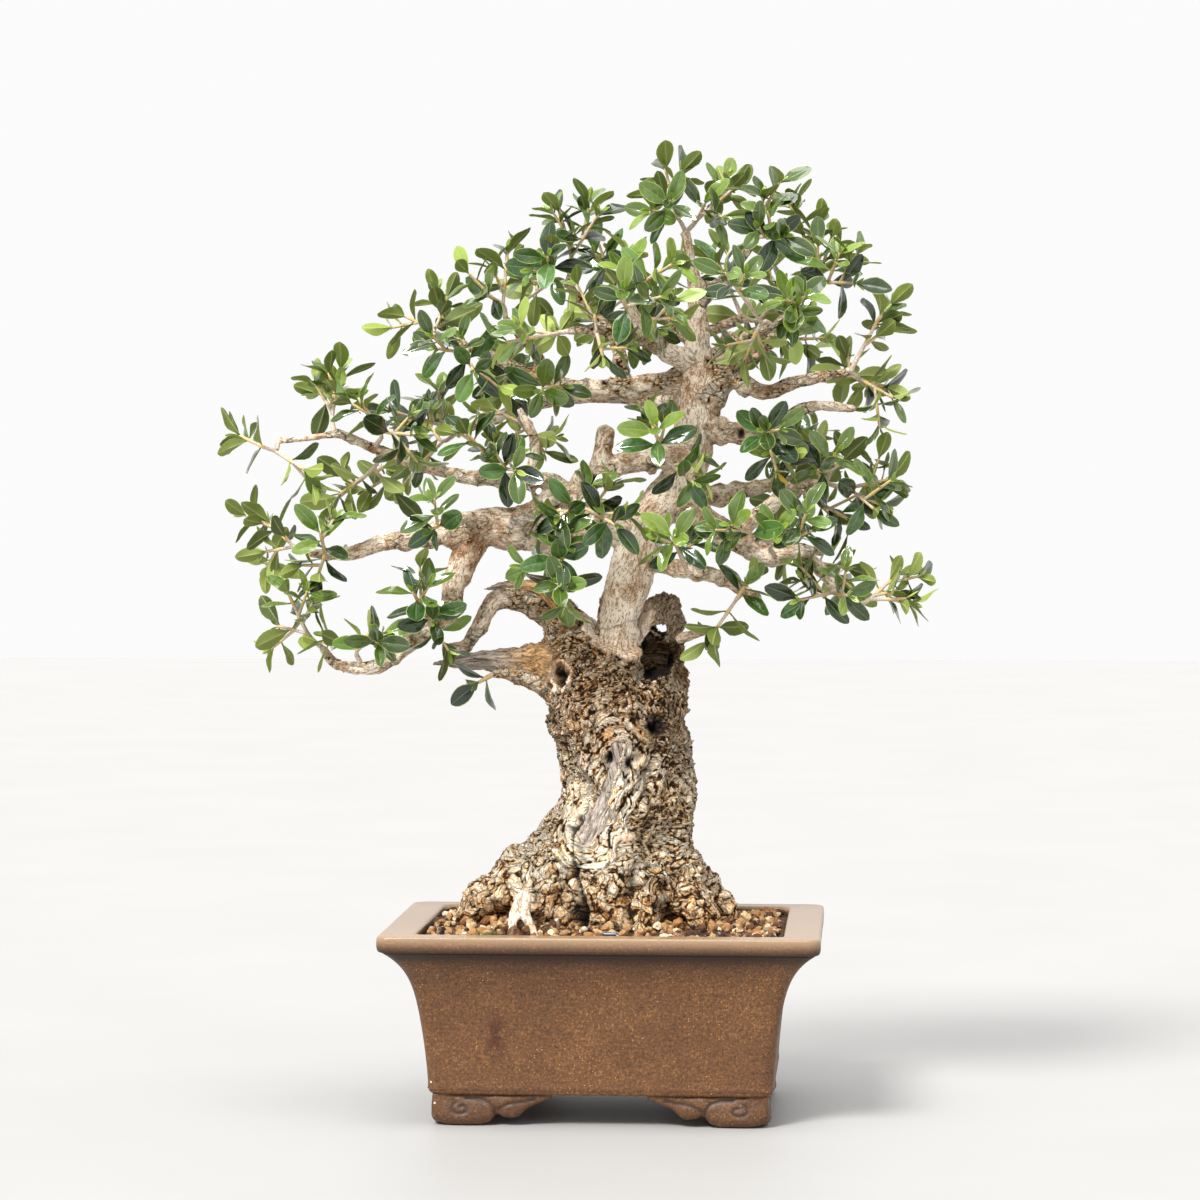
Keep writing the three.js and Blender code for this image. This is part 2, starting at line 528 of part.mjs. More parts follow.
// Opposite leaves in pairs, each pair turned a quarter from the last, opening wider down the shoot.
function tuftLeaves(tip, axis, pairs, seed) {
  const random = draws(seed);
  const first = perpendicular(axis);
  const second = new THREE.Vector3().crossVectors(axis, first);
  const twist = random() * Math.PI;
  const leaves = [];
  for (let pair = 0; pair < pairs; pair += 1) {
    const foot = tip.clone().addScaledVector(axis, -pair * NODE_SPACING - BUD_LENGTH);
    for (const half of [0, 1]) {
      const turn = twist + (pair / 2 + half) * Math.PI + TURN_SPREAD * (random() - 0.5);
      const pitch = PITCH + PITCH_STEP * pair + PITCH_SPREAD * (random() - 0.5);
      const outward = first.clone().multiplyScalar(Math.cos(turn)).addScaledVector(second, Math.sin(turn));
      const along = axis.clone().multiplyScalar(Math.cos(pitch)).addScaledVector(outward, Math.sin(pitch));
      const up = axis.clone().multiplyScalar(Math.sin(pitch)).addScaledVector(outward, -Math.cos(pitch));
      const length = LEAF_LENGTH * (SHORTEST + LENGTH_SPREAD * random() + LENGTH_STEP * pair);
      const width = LEAF_ASPECT * length * (NARROWEST + WIDTH_SPREAD * random());
      leaves.push({ foot, along, up, length, width });
    }
  }
  return leaves;
}

function placedLeaf({ foot, along, up, length, width }, grow) {
  const side = new THREE.Vector3().crossVectors(up, along);
  const matrix = new THREE.Matrix4().makeBasis(along, side, up).setPosition(foot);
  return solidOf(leafGeometry(length, width, grow).applyMatrix4(matrix));
}

function boxOf(solid) {
  const { min, max } = solid.boundingBox();
  return new THREE.Box3(vector(min), vector(max));
}

const withBox = (solid) => ({ solid, box: boxOf(solid) });

function crosses(solid, others) {
  const box = boxOf(solid);
  return others.some((other) => other.box.intersectsBox(box) && solid.intersect(other.solid).volume() > 0);
}

const twigSolid = (path, radii) => limbSolid(path.map(({ x, y, z }, i) => [x, y, z, radii[i]]), TWIG_SIDES);

// A spray's twigs: the stem starts just off the bark, and each side shoot leaves it at the fork.
function shootSolids(plan, tips, bark) {
  const fork = forkPoint(plan, tips);
  const base = plan.base.clone();
  const stem = () => twigSolid([base, fork, vector(tips[0])], [TWIG_RADIUS, TWIG_RADIUS, SHOOT_RADIUS]);
  while (crosses(stem(), [bark])) base.addScaledVector(plan.direction, BASE_STEP);
  base.addScaledVector(plan.direction, BASE_STEP);
  const sides = tips.slice(1).map((tip) => twigSolid([fork, vector(tip)], [SHOOT_RADIUS, SHOOT_RADIUS]));
  return joined([stem(), ...sides]);
}

// A spray is its twigs with those of its leaves that stay clear of the wood and of every other spray.
function spraySolid(plan, tips, number, shoots, others) {
  const fork = forkPoint(plan, tips);
  let spray = shoots;
  tips.map(vector).forEach((tip, index) => {
    const pairs = index === 0 ? MAIN_PAIRS : SIDE_PAIRS;
    const axis = tip.clone().sub(fork).normalize();
    for (const leaf of tuftLeaves(tip, axis, pairs, 1000 * number + 17 * index + 5)) {
      if (!crosses(placedLeaf(leaf, GAP), others)) spray = spray.add(placedLeaf(leaf, 0));
    }
  });
  return mainBody(spray);
}

// ---- putting the wood together ----

function woodSolid() {
  const stump = limbSolid(STUMP, 10, barkRelief(1));
  const cavity = limbSolid(STUMP_HOLLOW, 8).add(limbSolid(STUMP_WINDOW, 6));
  const limbs = LIMBS.map(([points, sides], i) => limbSolid(points, sides, barkRelief(i)));
  const wood = joined([
    limbSolid(TRUNK, TRUNK_SIDES, trunkRelief),
    limbSolid(SHOULDER, 10, barkRelief(2)),
    stump,
    ...ROOTS.map((points, i) => limbSolid(points, ROOT_SIDES, barkRelief(i))),
    ...FEEDER_ROOTS.map((points) => limbSolid(points, FINE_SIDES)),
    limbSolid(JIN, 8, barkRelief(4)),
    limbSolid(JIN_SLIVER, FINE_SIDES),
    ...limbs,
  ]);
  const holes = KNOT_HOLES.map(([x, z, radius]) => {
    const hole = new THREE.SphereGeometry(radius, 8, 5).scale(0.8, 2.4, 1.3);
    return solidOf(hole.translate(x, KNOT_HOLE_Y, z));
  });
  return mainBody(wood.subtract(joined([cavity, ...holes])));
}

// ---- the wire that ties the tree down ----

const WIRE_ROUTE = [
  [-6, -57, 80], [-5.5, -57.2, 88], [-2, -58, 91], [5, -58.5, 91.6], [9, -58.5, 90.8], [11.5, -58, 87],
  [12, -57.5, 80],
];

// extra makes it thicker, and longer at both buried ends: that is the hole it needs in the soil.
function wireSolid(extra) {
  const bottom = lowest(WIRE_ROUTE);
  const points = WIRE_ROUTE.map(([x, y, z]) => new THREE.Vector3(x, y, z === bottom ? z - extra : z));
  const section = new THREE.Shape().absarc(0, 0, WIRE_RADIUS + extra, 0, 2 * Math.PI);
  const extrudePath = new THREE.CatmullRomCurve3(points);
  const settings = { steps: WIRE_STEPS, extrudePath, curveSegments: 4, bevelEnabled: false };
  return solidOf(new THREE.ExtrudeGeometry(section, settings));
}

// ---- soil, with plain holes for the trunk and roots ----

// The hole that a limb needs in the soil: a little wider all round, and longer at its buried end.
function holeFor(points, ...settings) {
  const bottom = lowest(points);
  const wider = points.map(([x, y, z, radius]) => {
    return [x, y, z === bottom ? z - ROOT_CLEARANCE : z, radius + ROOT_CLEARANCE];
  });
  return limbSolid(wider, ...settings);
}

function rootHoles() {
  return joined([
    holeFor(TRUNK, TRUNK_SIDES, trunkRelief),
    ...ROOTS.map((points, i) => holeFor(points, ROOT_SIDES, barkRelief(i))),
    ...FEEDER_ROOTS.map((points) => holeFor(points, FINE_SIDES)),
  ]);
}

function granuleSolid(x, y, random) {
  const granule = new THREE.OctahedronGeometry(GRANULE_SIZE * (0.75 + 0.25 * random()));
  granule.rotateX(2 * Math.PI * random()).rotateZ(2 * Math.PI * random()).scale(1, 1, 0.8);
  return solidOf(granule.translate(x, y, SOIL_TOP - GRANULE_SINK + random() - 0.5));
}

function soilSolid() {
  const heights = [FOOT_HEIGHT + FLOOR + 2 * GAP + SCREEN_THICK, ...INNER_LEVELS, SOIL_TOP];
  let soil = solidOf(loftedBox(heights, (z) => innerHalfWidth(z) - GAP, RIM_CORNER + 3));
  const random = draws(77);
  const halfWidth = innerHalfWidth(SOIL_TOP) - GRANULE_SIZE - 2 * GAP;
  const halfDepth = POT_DEPTH / 2 - (POT_WIDTH / 2 - halfWidth) * DEPTH_SHARE;
  for (let i = 0; i < GRANULE_COUNT; i += 1) {
    const x = halfWidth * (2 * ((i * GOLDEN_SHARE) % 1) - 1);
    const y = halfDepth * (2 * ((i + 0.5) / GRANULE_COUNT) - 1);
    if (Math.hypot(x, y) > NEBARI_RADIUS) soil = soil.add(granuleSolid(x, y, random));
  }
  return mainBody(soil.subtract(rootHoles()).subtract(wireSolid(GAP)));
}

// ---- the assembled part ----

const olive = new THREE.Group();

function addPiece(name, solid, material) {
  const mesh = new THREE.Mesh(geometryOf(solid), material);
  mesh.name = name;
  olive.add(mesh);
  return mesh;
}

addPiece("pot", potSolid(), finish(0x7d5a3c, 0.45));
addPiece("soil", soilSolid(), finish(0x9c7a52, 0.95));
const wood = woodSolid();
const barkFinish = finish(0x9a754c, 0.85);
barkFinish.side = THREE.DoubleSide;
const woodMesh = addPiece("tree_wood", wood, barkFinish);
addPiece("tie_wire", wireSolid(0), finish(0x5b6672, 0.5, 0.8));
addPiece("drain_screen_left", screenSolid(-DRAIN_X), finish(0x24231f, 0.6));
addPiece("drain_screen_right", screenSolid(DRAIN_X), finish(0x24231f, 0.6));

const trunkAndLimbs = withBox(wood);
const plans = SPRAYS.map((tips) => sprayPlan(tips, woodMesh));
const placed = SPRAYS.map((tips, index) => withBox(shootSolids(plans[index], tips, trunkAndLimbs)));
SPRAYS.forEach((tips, index) => {
  const others = [trunkAndLimbs, ...placed.filter((_, place) => place !== index)];
  const solid = spraySolid(plans[index], tips, index + 1, placed[index].solid, others);
  placed[index] = withBox(solid);
  addPiece(`spray_${String(index + 1).padStart(2, "0")}`, solid, finish(0x3f6b34, 0.45));
});

const bounds = new THREE.Box3().setFromObject(olive);
const middle = bounds.getCenter(new THREE.Vector3());
olive.position.set(-middle.x, -middle.y, -bounds.min.z);
olive.updateMatrixWorld(true);

export default olive;
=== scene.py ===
"""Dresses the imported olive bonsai: wood with its bark, leafy sprays, soil, pot, wire and the stage."""

import math

import bmesh
import bpy
import numpy as np
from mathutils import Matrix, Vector, noise
from mathutils.bvhtree import BVHTree


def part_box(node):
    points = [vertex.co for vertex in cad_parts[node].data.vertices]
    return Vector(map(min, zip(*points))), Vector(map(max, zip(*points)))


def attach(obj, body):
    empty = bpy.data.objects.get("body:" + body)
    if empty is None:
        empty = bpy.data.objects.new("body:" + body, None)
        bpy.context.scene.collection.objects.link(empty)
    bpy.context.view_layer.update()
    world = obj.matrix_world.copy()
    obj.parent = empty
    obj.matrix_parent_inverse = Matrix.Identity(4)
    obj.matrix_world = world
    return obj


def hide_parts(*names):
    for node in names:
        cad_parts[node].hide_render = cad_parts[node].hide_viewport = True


bl_info = {
    "name": "Olive bonsai",
    "version": (1, 0, 0),
    "blender": (4, 5, 0),
    "location": "3D View > Sidebar > Olive",
    "description": "Builds the visible olive bonsai around its packed solids",
    "category": "Object",
}

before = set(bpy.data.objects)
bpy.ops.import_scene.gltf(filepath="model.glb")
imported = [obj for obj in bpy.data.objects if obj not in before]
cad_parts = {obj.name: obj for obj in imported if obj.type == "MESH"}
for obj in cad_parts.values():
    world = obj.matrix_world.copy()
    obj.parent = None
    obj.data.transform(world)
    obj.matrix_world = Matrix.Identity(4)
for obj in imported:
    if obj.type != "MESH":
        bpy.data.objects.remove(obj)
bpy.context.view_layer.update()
BODY = "root"
MM = 0.001


def pot_middle():
    """The middle of the pot seen from above, in mm: the lists below are measured from it."""
    low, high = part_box("pot")
    return np.array([(low.x + high.x) / 2 / MM, (low.y + high.y) / 2 / MM, 0.0])


POT_MIDDLE = pot_middle()

# ---- sizes in mm, as in the part's source ----

POT_WIDTH = 209.6
POT_DEPTH = 160.0
POT_HEIGHT = 92.0
DEPTH_SHARE = POT_DEPTH / POT_WIDTH
RIM_HEIGHT = 7.5
RIM_LEDGE = 17.5
RIM_CORNER = 6.0
BODY_INSET = 22.6
RIM_OVERHANG = 1.0
LEAN_SHARE = 0.42
LEAN_CURVE = 1.45
FLARE_CURVE = 8.0
BODY_BEVEL = 2.2
WALL = 7.0
FLOOR_THICK = 6.0
FOOT_HEIGHT = 15.0
FOOT_THICK = 10.0
FOOT_INSET = 2.3
FRONT_FOOT = (30.0, 42.0, 57.0)
SIDE_FOOT = (24.0, 33.0, 44.0)
DRAIN_RADIUS = 8.0
DRAIN_X = 38.0
SOIL_TOP = 89.5
GAP = 0.35
WIRE_RADIUS = 1.1

LEAF_LENGTH = 17.0
LEAF_ASPECT = 0.52
LEAF_CURL = 0.12
NODE_SPACING = 4.5
BUD_LENGTH = 1.6
PITCH = 0.75
PITCH_STEP = 0.3
PITCH_SPREAD = 0.4
TURN_SPREAD = 0.5
SHORTEST = 0.8
LENGTH_SPREAD = 0.35
LENGTH_STEP = 0.08
NARROWEST = 0.88
WIDTH_SPREAD = 0.24
FORK_SHARE = 0.35
TWIG_RADIUS = 1.2
SHOOT_RADIUS = 0.75
MAIN_PAIRS = 2
SIDE_PAIRS = 1

# ---- the wood: limbs as [x, y, z, radius] in mm ----

ROOTS = [
    [[-22, -4, 126, 18], [-51, -9, 107, 14], [-67, -12, 93, 8.5], [-75, -13, 74, 3]],
    [[-18, -12, 130, 17], [-29, -31, 106, 13.5], [-38, -48, 85, 7.6], [-42, -56, 70, 4]],
    [[14, -12, 126, 21], [15, -31, 104, 16.5], [19, -48, 85, 9], [22, -57, 70, 5]],
    [[24, -6, 122, 19], [44, -24, 101, 12.5], [53, -38, 84, 6.2], [57, -44, 73, 4]],
    [[22, 2, 122, 20], [46, 3, 103, 13.5], [61, 2, 87, 7.6], [67, 0, 73, 4]],
    [[-10, 14, 120, 19], [-24, 32, 100, 12.5], [-35, 47, 83, 7], [-40, 54, 71, 4]],
    [[18, 14, 120, 19], [32, 32, 100, 12.5], [43, 46, 83, 7], [48, 54, 71, 4]],
]
FEEDER_ROOTS = [
    [
        [-38, -34, 110, 3.0], [-40, -48, 104, 2.8], [-42, -55, 96, 2.5], [-41, -58, 86, 2.4],
        [-41, -59, 73, 2.2],
    ],
    [
        [-35, -36, 110, 3.0], [-37, -50, 103, 2.7], [-33, -57, 95, 2.4], [-28, -61, 88, 2.3],
        [-27, -62, 73, 2.2],
    ],
]
TRUNK = [
    [-2, 0, 68, 50], [-3, 0, 86, 49], [-2, 0, 106, 47], [3, 0, 122, 43.5], [7, 0, 134, 38.5],
    [11, 0, 148, 33.5], [12, 0, 163, 32.5], [8, 0, 177, 33.5], [3, 0, 194, 34], [-3, 0, 210, 30],
    [-10, 3, 228, 15],
]
SHOULDER = [[-8, 3, 204, 24], [-16, 3, 224, 18], [-22, 2, 238, 12], [-27, 2, 247, 8]]
STUMP = [[16, 6, 186, 18], [23, 8, 207, 17], [23, 8, 224, 14], [25, 8, 238, 13], [26, 7, 249, 8]]
STUMP_HOLLOW = [[21, -24, 213, 5], [23, -12, 219, 8], [24, 4, 224, 9.5], [25, 12, 227, 6]]
STUMP_WINDOW = [[25, -12, 234, 3], [26, 32, 235, 3]]
JIN = [
    [-14, 0, 211, 18], [-30, -3, 215.5, 14.5], [-42, -5, 217, 9.8], [-54, -7, 219, 6], [-68, -9, 219, 4.4],
    [-85, -12, 217.5, 1.2],
]
COLLAR = [[1, -4, 208, 17.5], [2, -4, 219, 15], [4, -4, 230, 11.8], [6, -4, 238, 10.2]]
JIN_SLIVER = [[-18, -8, 238, 5], [-29, -13, 253, 3.6], [-44, -12, 257, 2.6], [-60, -10, 254, 1]]

# The live limbs, which sprays grow from: how rough the bark is, from 0 to 1, and the limb itself.
LIMBS = {
    "leader": (0.05, [
        [0, -1, 200, 15], [2, -4, 222, 12.5], [5, -4, 237, 10.4], [11, -3, 260, 10.8],
        [20, 0, 287, 10.4], [31, 2, 300, 10.2], [39, 4, 315, 10.2], [43, 5, 335, 10.8], [42, 4, 356, 8],
        [44, 3, 386, 4.8], [38, 0, 428, 2.3],
    ]),
    "left limb": (0.3, [
        [12, -1, 280, 8], [-5, -4, 288, 8.8], [-26, -7, 284, 9.4], [-43, -9, 283, 10.6],
        [-62, -10, 285, 8], [-86, -13, 281, 5.6], [-108, -13, 277, 4.4], [-128, -12, 271, 3.2],
        [-145, -9, 272, 2.3],
    ]),
    "lower left": (0.35, [
        [-62, -10, 282, 7], [-72, -14, 262, 6.2], [-77, -20, 243, 5], [-95, -26, 228, 4],
        [-110, -27, 217, 3.5], [-130, -24, 218, 2.6], [-138, -20, 226, 2],
    ]),
    "lower live": (0.35, [
        [-20, 5, 236, 9], [-34, 5, 246, 6.6], [-54, 2, 249, 4.8], [-63, -2, 236, 3.8], [-70, -5, 226, 3],
        [-79, -6, 226, 2],
    ]),
    "under twig": (0.9, [[-26, -8, 208, 6], [-46, -14, 213, 3], [-55, -17, 213, 1.8]]),
    "s-shaped limb": (0.35, [
        [39, 0, 320, 7], [20, -6, 318, 6], [-1, -12, 312, 5.6], [-16, -14, 301, 5.2],
        [-31, -13, 296, 5.2], [-41, -10, 280, 6],
    ]),
    "knot spur": (0.6, [[-3, -12, 313, 5], [0, -14, 332, 4.4]]),
    "left branch": (0.5, [
        [-18, -13, 301, 5], [-30, -11, 307, 4.2], [-63, -8, 308, 3.4], [-95, -9, 316, 2.9],
        [-133, -12, 331, 2.1],
    ]),
    "left twig": (0.3, [[-129, -12, 330, 1.9], [-160, -16, 326, 1.4]]),
    "branch rise": (0.5, [[-38, -9, 307, 3], [-36, 0, 326, 2.6], [-44, 8, 342, 2]]),
    "crown left": (0.35, [
        [42, 5, 355, 6], [20, 4, 354, 5.2], [-12, 2, 352, 4], [-38, 1, 359, 3.4], [-60, -1, 369, 2.8],
        [-86, 0, 379, 2],
    ]),
    "upper left": (0.35, [[-30, 1, 355, 3.2], [-36, 1, 370, 2.8], [-50, -1, 386, 2]]),
    "crown rise": (0.35, [[8, 3, 355, 3.8], [3, 1, 376, 3.2], [-14, 0, 395, 2.6], [-20, 2, 404, 2]]),
    "pale limb": (0.1, [[42, 3, 364, 6], [24, -7, 373, 4.4], [9, -20, 395, 2.2]]),
    "burr": (0.65, [[44, 4, 340, 8], [54, 3, 354, 7.2], [58, 0, 369, 7.2], [60, -1, 377, 4.4]]),
    "crown right": (0.45, [[58, 1, 366, 5.4], [70, 0, 368, 4.4], [86, -1, 385, 3.4], [99, 0, 402, 2.2]]),
    "crown top right": (0.35, [[43, 3, 392, 3.6], [58, 1, 407, 2.8], [69, -1, 420, 2.1]]),
    "right branch": (0.45, [
        [57, 1, 360, 5], [76, -4, 350, 3.9], [92, -4, 355, 3.2], [118, -2, 360, 2.1],
    ]),
    "right knot branch": (0.5, [
        [46, 2, 333, 6], [66, -6, 330, 5], [82, -6, 334, 3.6], [98, -4, 343, 2.8], [120, -2, 342, 2],
    ]),
    "right limb": (0.25, [
        [32, 2, 297, 8.6], [48, -2, 287, 7.4], [66, -7, 276, 6], [80, -9, 270, 5], [97, -9, 270, 3.6],
        [119, -12, 246, 1.9],
    ]),
    "right rise": (0.4, [[60, -5, 281, 5], [80, -2, 295, 3.8], [87, 0, 304, 2.9], [106, 3, 306, 2]]),
    "low right": (0.4, [[14, -3, 270, 6], [32, -9, 265, 4.4], [56, -14, 260, 3.4], [74, -16, 249, 3]]),
    "stump twig": (0.4, [[34, 3, 230, 3], [51, -5, 234, 1.5]]),
    "back left": (0.35, [
        [42, 6, 340, 7], [26, 28, 347, 5.2], [-10, 46, 350, 4], [-46, 54, 344, 3], [-80, 52, 331, 2.2],
    ]),
    "back crown": (0.35, [[43, 5, 366, 5.4], [38, 28, 378, 4], [20, 60, 398, 2.2]]),
    "back crown right": (0.35, [[38, 26, 377, 3.6], [64, 46, 388, 2.4]]),
    "back right": (0.35, [[34, 4, 300, 7], [54, 27, 300, 4.8], [90, 42, 308, 2.4]]),
    "back right low": (0.35, [[64, -4, 278, 4.6], [84, 12, 275, 3.2], [104, 19, 272, 2.1]]),
    "front crown": (0.35, [
        [24, -6, 374, 4], [12, -34, 376, 3], [-4, -44, 379, 2.4], [-16, -48, 378, 1.8],
    ]),
    "front crown right": (0.35, [[58, 0, 368, 4.6], [73, -25, 377, 3], [86, -36, 382, 2]]),
    "front left": (0.35, [[-56, -12, 286, 6], [-66, -24, 289, 3.2], [-74, -34, 288, 2.2]]),
}

# The old body of the tree, each with its roughness and how far it is bare dead wood.
OLD_WOOD = (
    [(TRUNK, 1.0, 0.0), (SHOULDER, 0.8, 0.1), (STUMP, 0.8, 0.4), (JIN, 0.2, 1.0), (JIN_SLIVER, 0.1, 1.0)]
    + [(root, 1.0, 0.0) for root in ROOTS]
    + [(root, 0.0, 0.0) for root in FEEDER_ROOTS]
)

# Scars: x, y, z, radius, depth and height of the callus round it, in mm. A depth below 0 is a knob.
TRUNK_SCARS = [
    (-22, -21, 212, 3.3, 6.0, 1.5), (26, -25, 189, 4.2, 8.0, 0.4), (-20, -42, 122, 10.0, -4.6, 0.0),
    (1, -44, 125, 6.0, -3.0, 0.0), (14, -42, 127, 6.5, -2.8, 0.0), (-12, -46, 98, 4.6, 6.0, 0.0),
    (2, -32, 173.5, 1.7, 3.0, 0.6), (13, -31, 171.5, 1.9, 3.0, 0.6), (36, -40, 103, 8.0, -2.6, 0.0),
    (22, -34, 150, 6.0, -2.2, 0.0), (-24, -24, 186, 6.0, -2.2, 0.0),
    (30, 30, 140, 8.0, -3.0, 0.0), (-26, 30, 160, 7.0, -2.6, 0.0), (10, -46, 104, 8.0, -2.2, 0.0),
]
LIMB_SCARS = [(-5.5, -18, 306, 2.4, 2.6, 1.0), (65, -11, 330, 1.6, 2.4, 1.2)]
# The crevice and the dead strip beside it, as (x, z) places on the trunk's front.
CREVICE = [(3, 178), (-2, 163), (-11, 148), (-15, 136), (-13, 124), (-11, 108), (-12, 94)]
CREVICE_LEVELS = [94, 104, 112, 130, 140, 152, 160, 178]
CREVICE_WIDTHS = [4.6, 2.2, 1.1, 1.0, 1.2, 0.9, 0.6, 0.4]
CREVICE_DEPTHS = [7.0, 5.5, 3.2, 3.6, 4.2, 2.6, 1.2, 0.8]
STRIP = [(6, 179), (4, 168), (0, 157), (-5, 143), (-8, 136)]
STRIP_LEVELS = [130, 136, 143, 150, 158, 168, 176, 182]
STRIP_WIDTHS = [1.6, 4.6, 6.6, 4.4, 1.7, 1.8, 3.0, 1.6]
FOLDS = [
    [(-34, 116), (-29, 104), (-27, 90)], [(16, 120), (12, 106), (14, 90)], [(33, 118), (28, 104), (33, 90)],
    [(24, 176), (18, 160), (24, 146), (19, 134)],
]

WIRE_ROUTE = [
    [-6, -57, 80], [-5.5, -57.2, 88], [-2, -58, 91], [5, -58.5, 91.6], [9, -58.5, 90.8], [11.5, -58, 87],
    [12, -57.5, 80],
]

# Sprays: the middle of the leaf tuft at the end of each of their shoots.
BARE_SPRAY = 4  # the number of the spray that has no side twigs
YELLOW_LEAF = (84, -30, 305)  # the middle of one yellowing leaf
YELLOW_REACH = 6.0
SPRAYS = [
    [[-154, -25, 253], [-161, -10, 236]], [[-105, -45, 234], [-134, -30, 232]],
    [[-90, -50, 254], [-80, -50, 240]], [[-62, -24, 209]], [[-167, 2, 287], [-170, 6, 272]],
    [[-137, -32, 282], [-139, -24, 262]], [[-138, 16, 296], [-107, 20, 301]], [[-81, -48, 284]],
    [[-179, -20, 329], [-145, -27, 312]], [[-131, 0, 362], [-145, 20, 353]],
    [[-120, -20, 347], [-92, -28, 329]], [[-111, 30, 342], [-88, 42, 346]],
    [[-95, 72, 334], [-108, 54, 304]], [[-66, -36, 330], [-41, -50, 312]],
    [[-33, 24, 321], [-57, 16, 342]], [[-101, 8, 388], [-79, 28, 386]],
    [[-82, -20, 371], [-62, -36, 359]], [[-58, -15, 397], [-50, 8, 419]],
    [[-52, 22, 358], [-60, 84, 354]], [[-30, -32, 350]], [[-28, -20, 415], [-44, 50, 398]],
    [[-22, -40, 377], [-44, -68, 372]], [[-8, 22, 419], [-12, 80, 388]],
    [[-24, 0, 439], [-4, -12, 436]], [[1, -52, 366], [-3, -52, 386]], [[10, -32, 409], [34, -46, 410]],
    [[12, 38, 389], [20, 88, 384]], [[22, -20, 437], [28, 0, 459]], [[48, -15, 441], [62, 10, 451]],
    [[76, -15, 443], [86, -30, 424]], [[90, 15, 444], [112, 16, 419]], [[52, 46, 416], [66, 80, 384]],
    [[67, -34, 364], [60, -74, 404]], [[38, -56, 384], [12, -78, 396]], [[84, 42, 404], [98, 66, 372]],
    [[102, 2, 412], [121, -20, 402]], [[133, -4, 388]], [[92, -42, 378], [97, -64, 394]],
    [[113, 26, 361], [139, 0, 347]], [[26, -56, 333], [44, -52, 306]], [[77, -36, 331], [83, -28, 311]],
    [[88, 26, 327], [100, 68, 318]], [[102, -10, 312], [117, 15, 318]],
    [[139, 5, 308], [130, -15, 293]], [[117, 26, 288], [84, 56, 294]], [[100, -40, 283], [62, -50, 286]],
    [[34, -52, 281]], [[7, -52, 286], [-20, -48, 290]], [[-19, -52, 269], [-17, -48, 247]],
    [[68, -28, 257], [54, -22, 236]], [[72, 30, 268], [117, 24, 264]],
    [[141, 0, 262], [145, -12, 250]], [[117, -26, 252], [94, -36, 250]],
]


# ---- small helpers ----


def rgba(colour):
    """A linear colour with its alpha, from a linear colour or from an sRGB hex value such as 7d5a3c."""
    if isinstance(colour, str):
        parts = [int(colour[i:i + 2], 16) / 255 for i in (0, 2, 4)]
        colour = [p / 12.92 if p <= 0.04045 else ((p + 0.055) / 1.055) ** 2.4 for p in parts]
    return (*colour, 1.0)


def draws(seed):
    """The same seeded draw as in the part's source."""
    state = seed
    mask = 0xFFFFFFFF

    def draw():
        nonlocal state
        state = (state + 0x6D2B79F5) & mask
        mixed = ((state ^ (state >> 15)) * (state | 1)) & mask
        mixed = ((mixed + ((mixed ^ (mixed >> 7)) * (mixed | 61) & mask)) ^ mixed) & mask
        return (mixed ^ (mixed >> 14)) / 4294967296

    return draw


def unit(vector):
    return vector / max(np.linalg.norm(vector), 1e-12)


def around(direction):
    """Two unit vectors square to a direction and to each other."""
    helper = np.array([0.0, 0.0, 1.0]) if abs(direction[2]) < 0.9 else np.array([1.0, 0.0, 0.0])
    first = unit(helper - direction * np.dot(helper, direction))
    return first, np.cross(direction, first)


def smoothstep(low, high, value):
    share = np.clip((value - low) / (high - low), 0.0, 1.0)
    return share * share * (3 - 2 * share)


def bell(distance, width):
    """1 in the middle, falling off to nothing beyond about twice the width."""
    return np.exp(-((distance / width) ** 2))


def spline(points, step):
    """Points about every step mm on a smooth curve through the given ones, with their radius."""
    given = np.array(points, float)
    whole = np.vstack([2 * given[0] - given[1], given, 2 * given[-1] - given[-2]])
    pieces = []
    for i in range(len(given) - 1):
        before, start, end, after = whole[i:i + 4]
        count = max(1, round(float(np.linalg.norm(end[:3] - start[:3])) / step))
        t = (np.arange(count) / count)[:, None]
        pieces.append(0.5 * (
            2 * start + (end - before) * t + (2 * before - 5 * start + 4 * end - after) * t**2
            + (3 * start - before - 3 * end + after) * t**3
        ))
    path = np.vstack([*pieces, given[-1:]])
    path[:, 3] = np.maximum(path[:, 3], given[:, 3].min())
    return path


def frames_along(path):
    """Unit tangents, normals and sides along a path, without any twist."""
    tangents = np.gradient(path[:, :3], axis=0)
    tangents /= np.linalg.norm(tangents, axis=1)[:, None]
    normals = [around(tangents[0])[0]]
    for tangent in tangents[1:]:
        normals.append(unit(normals[-1] - tangent * np.dot(normals[-1], tangent)))
    normals = np.array(normals)
    return tangents, normals, np.cross(tangents, normals)


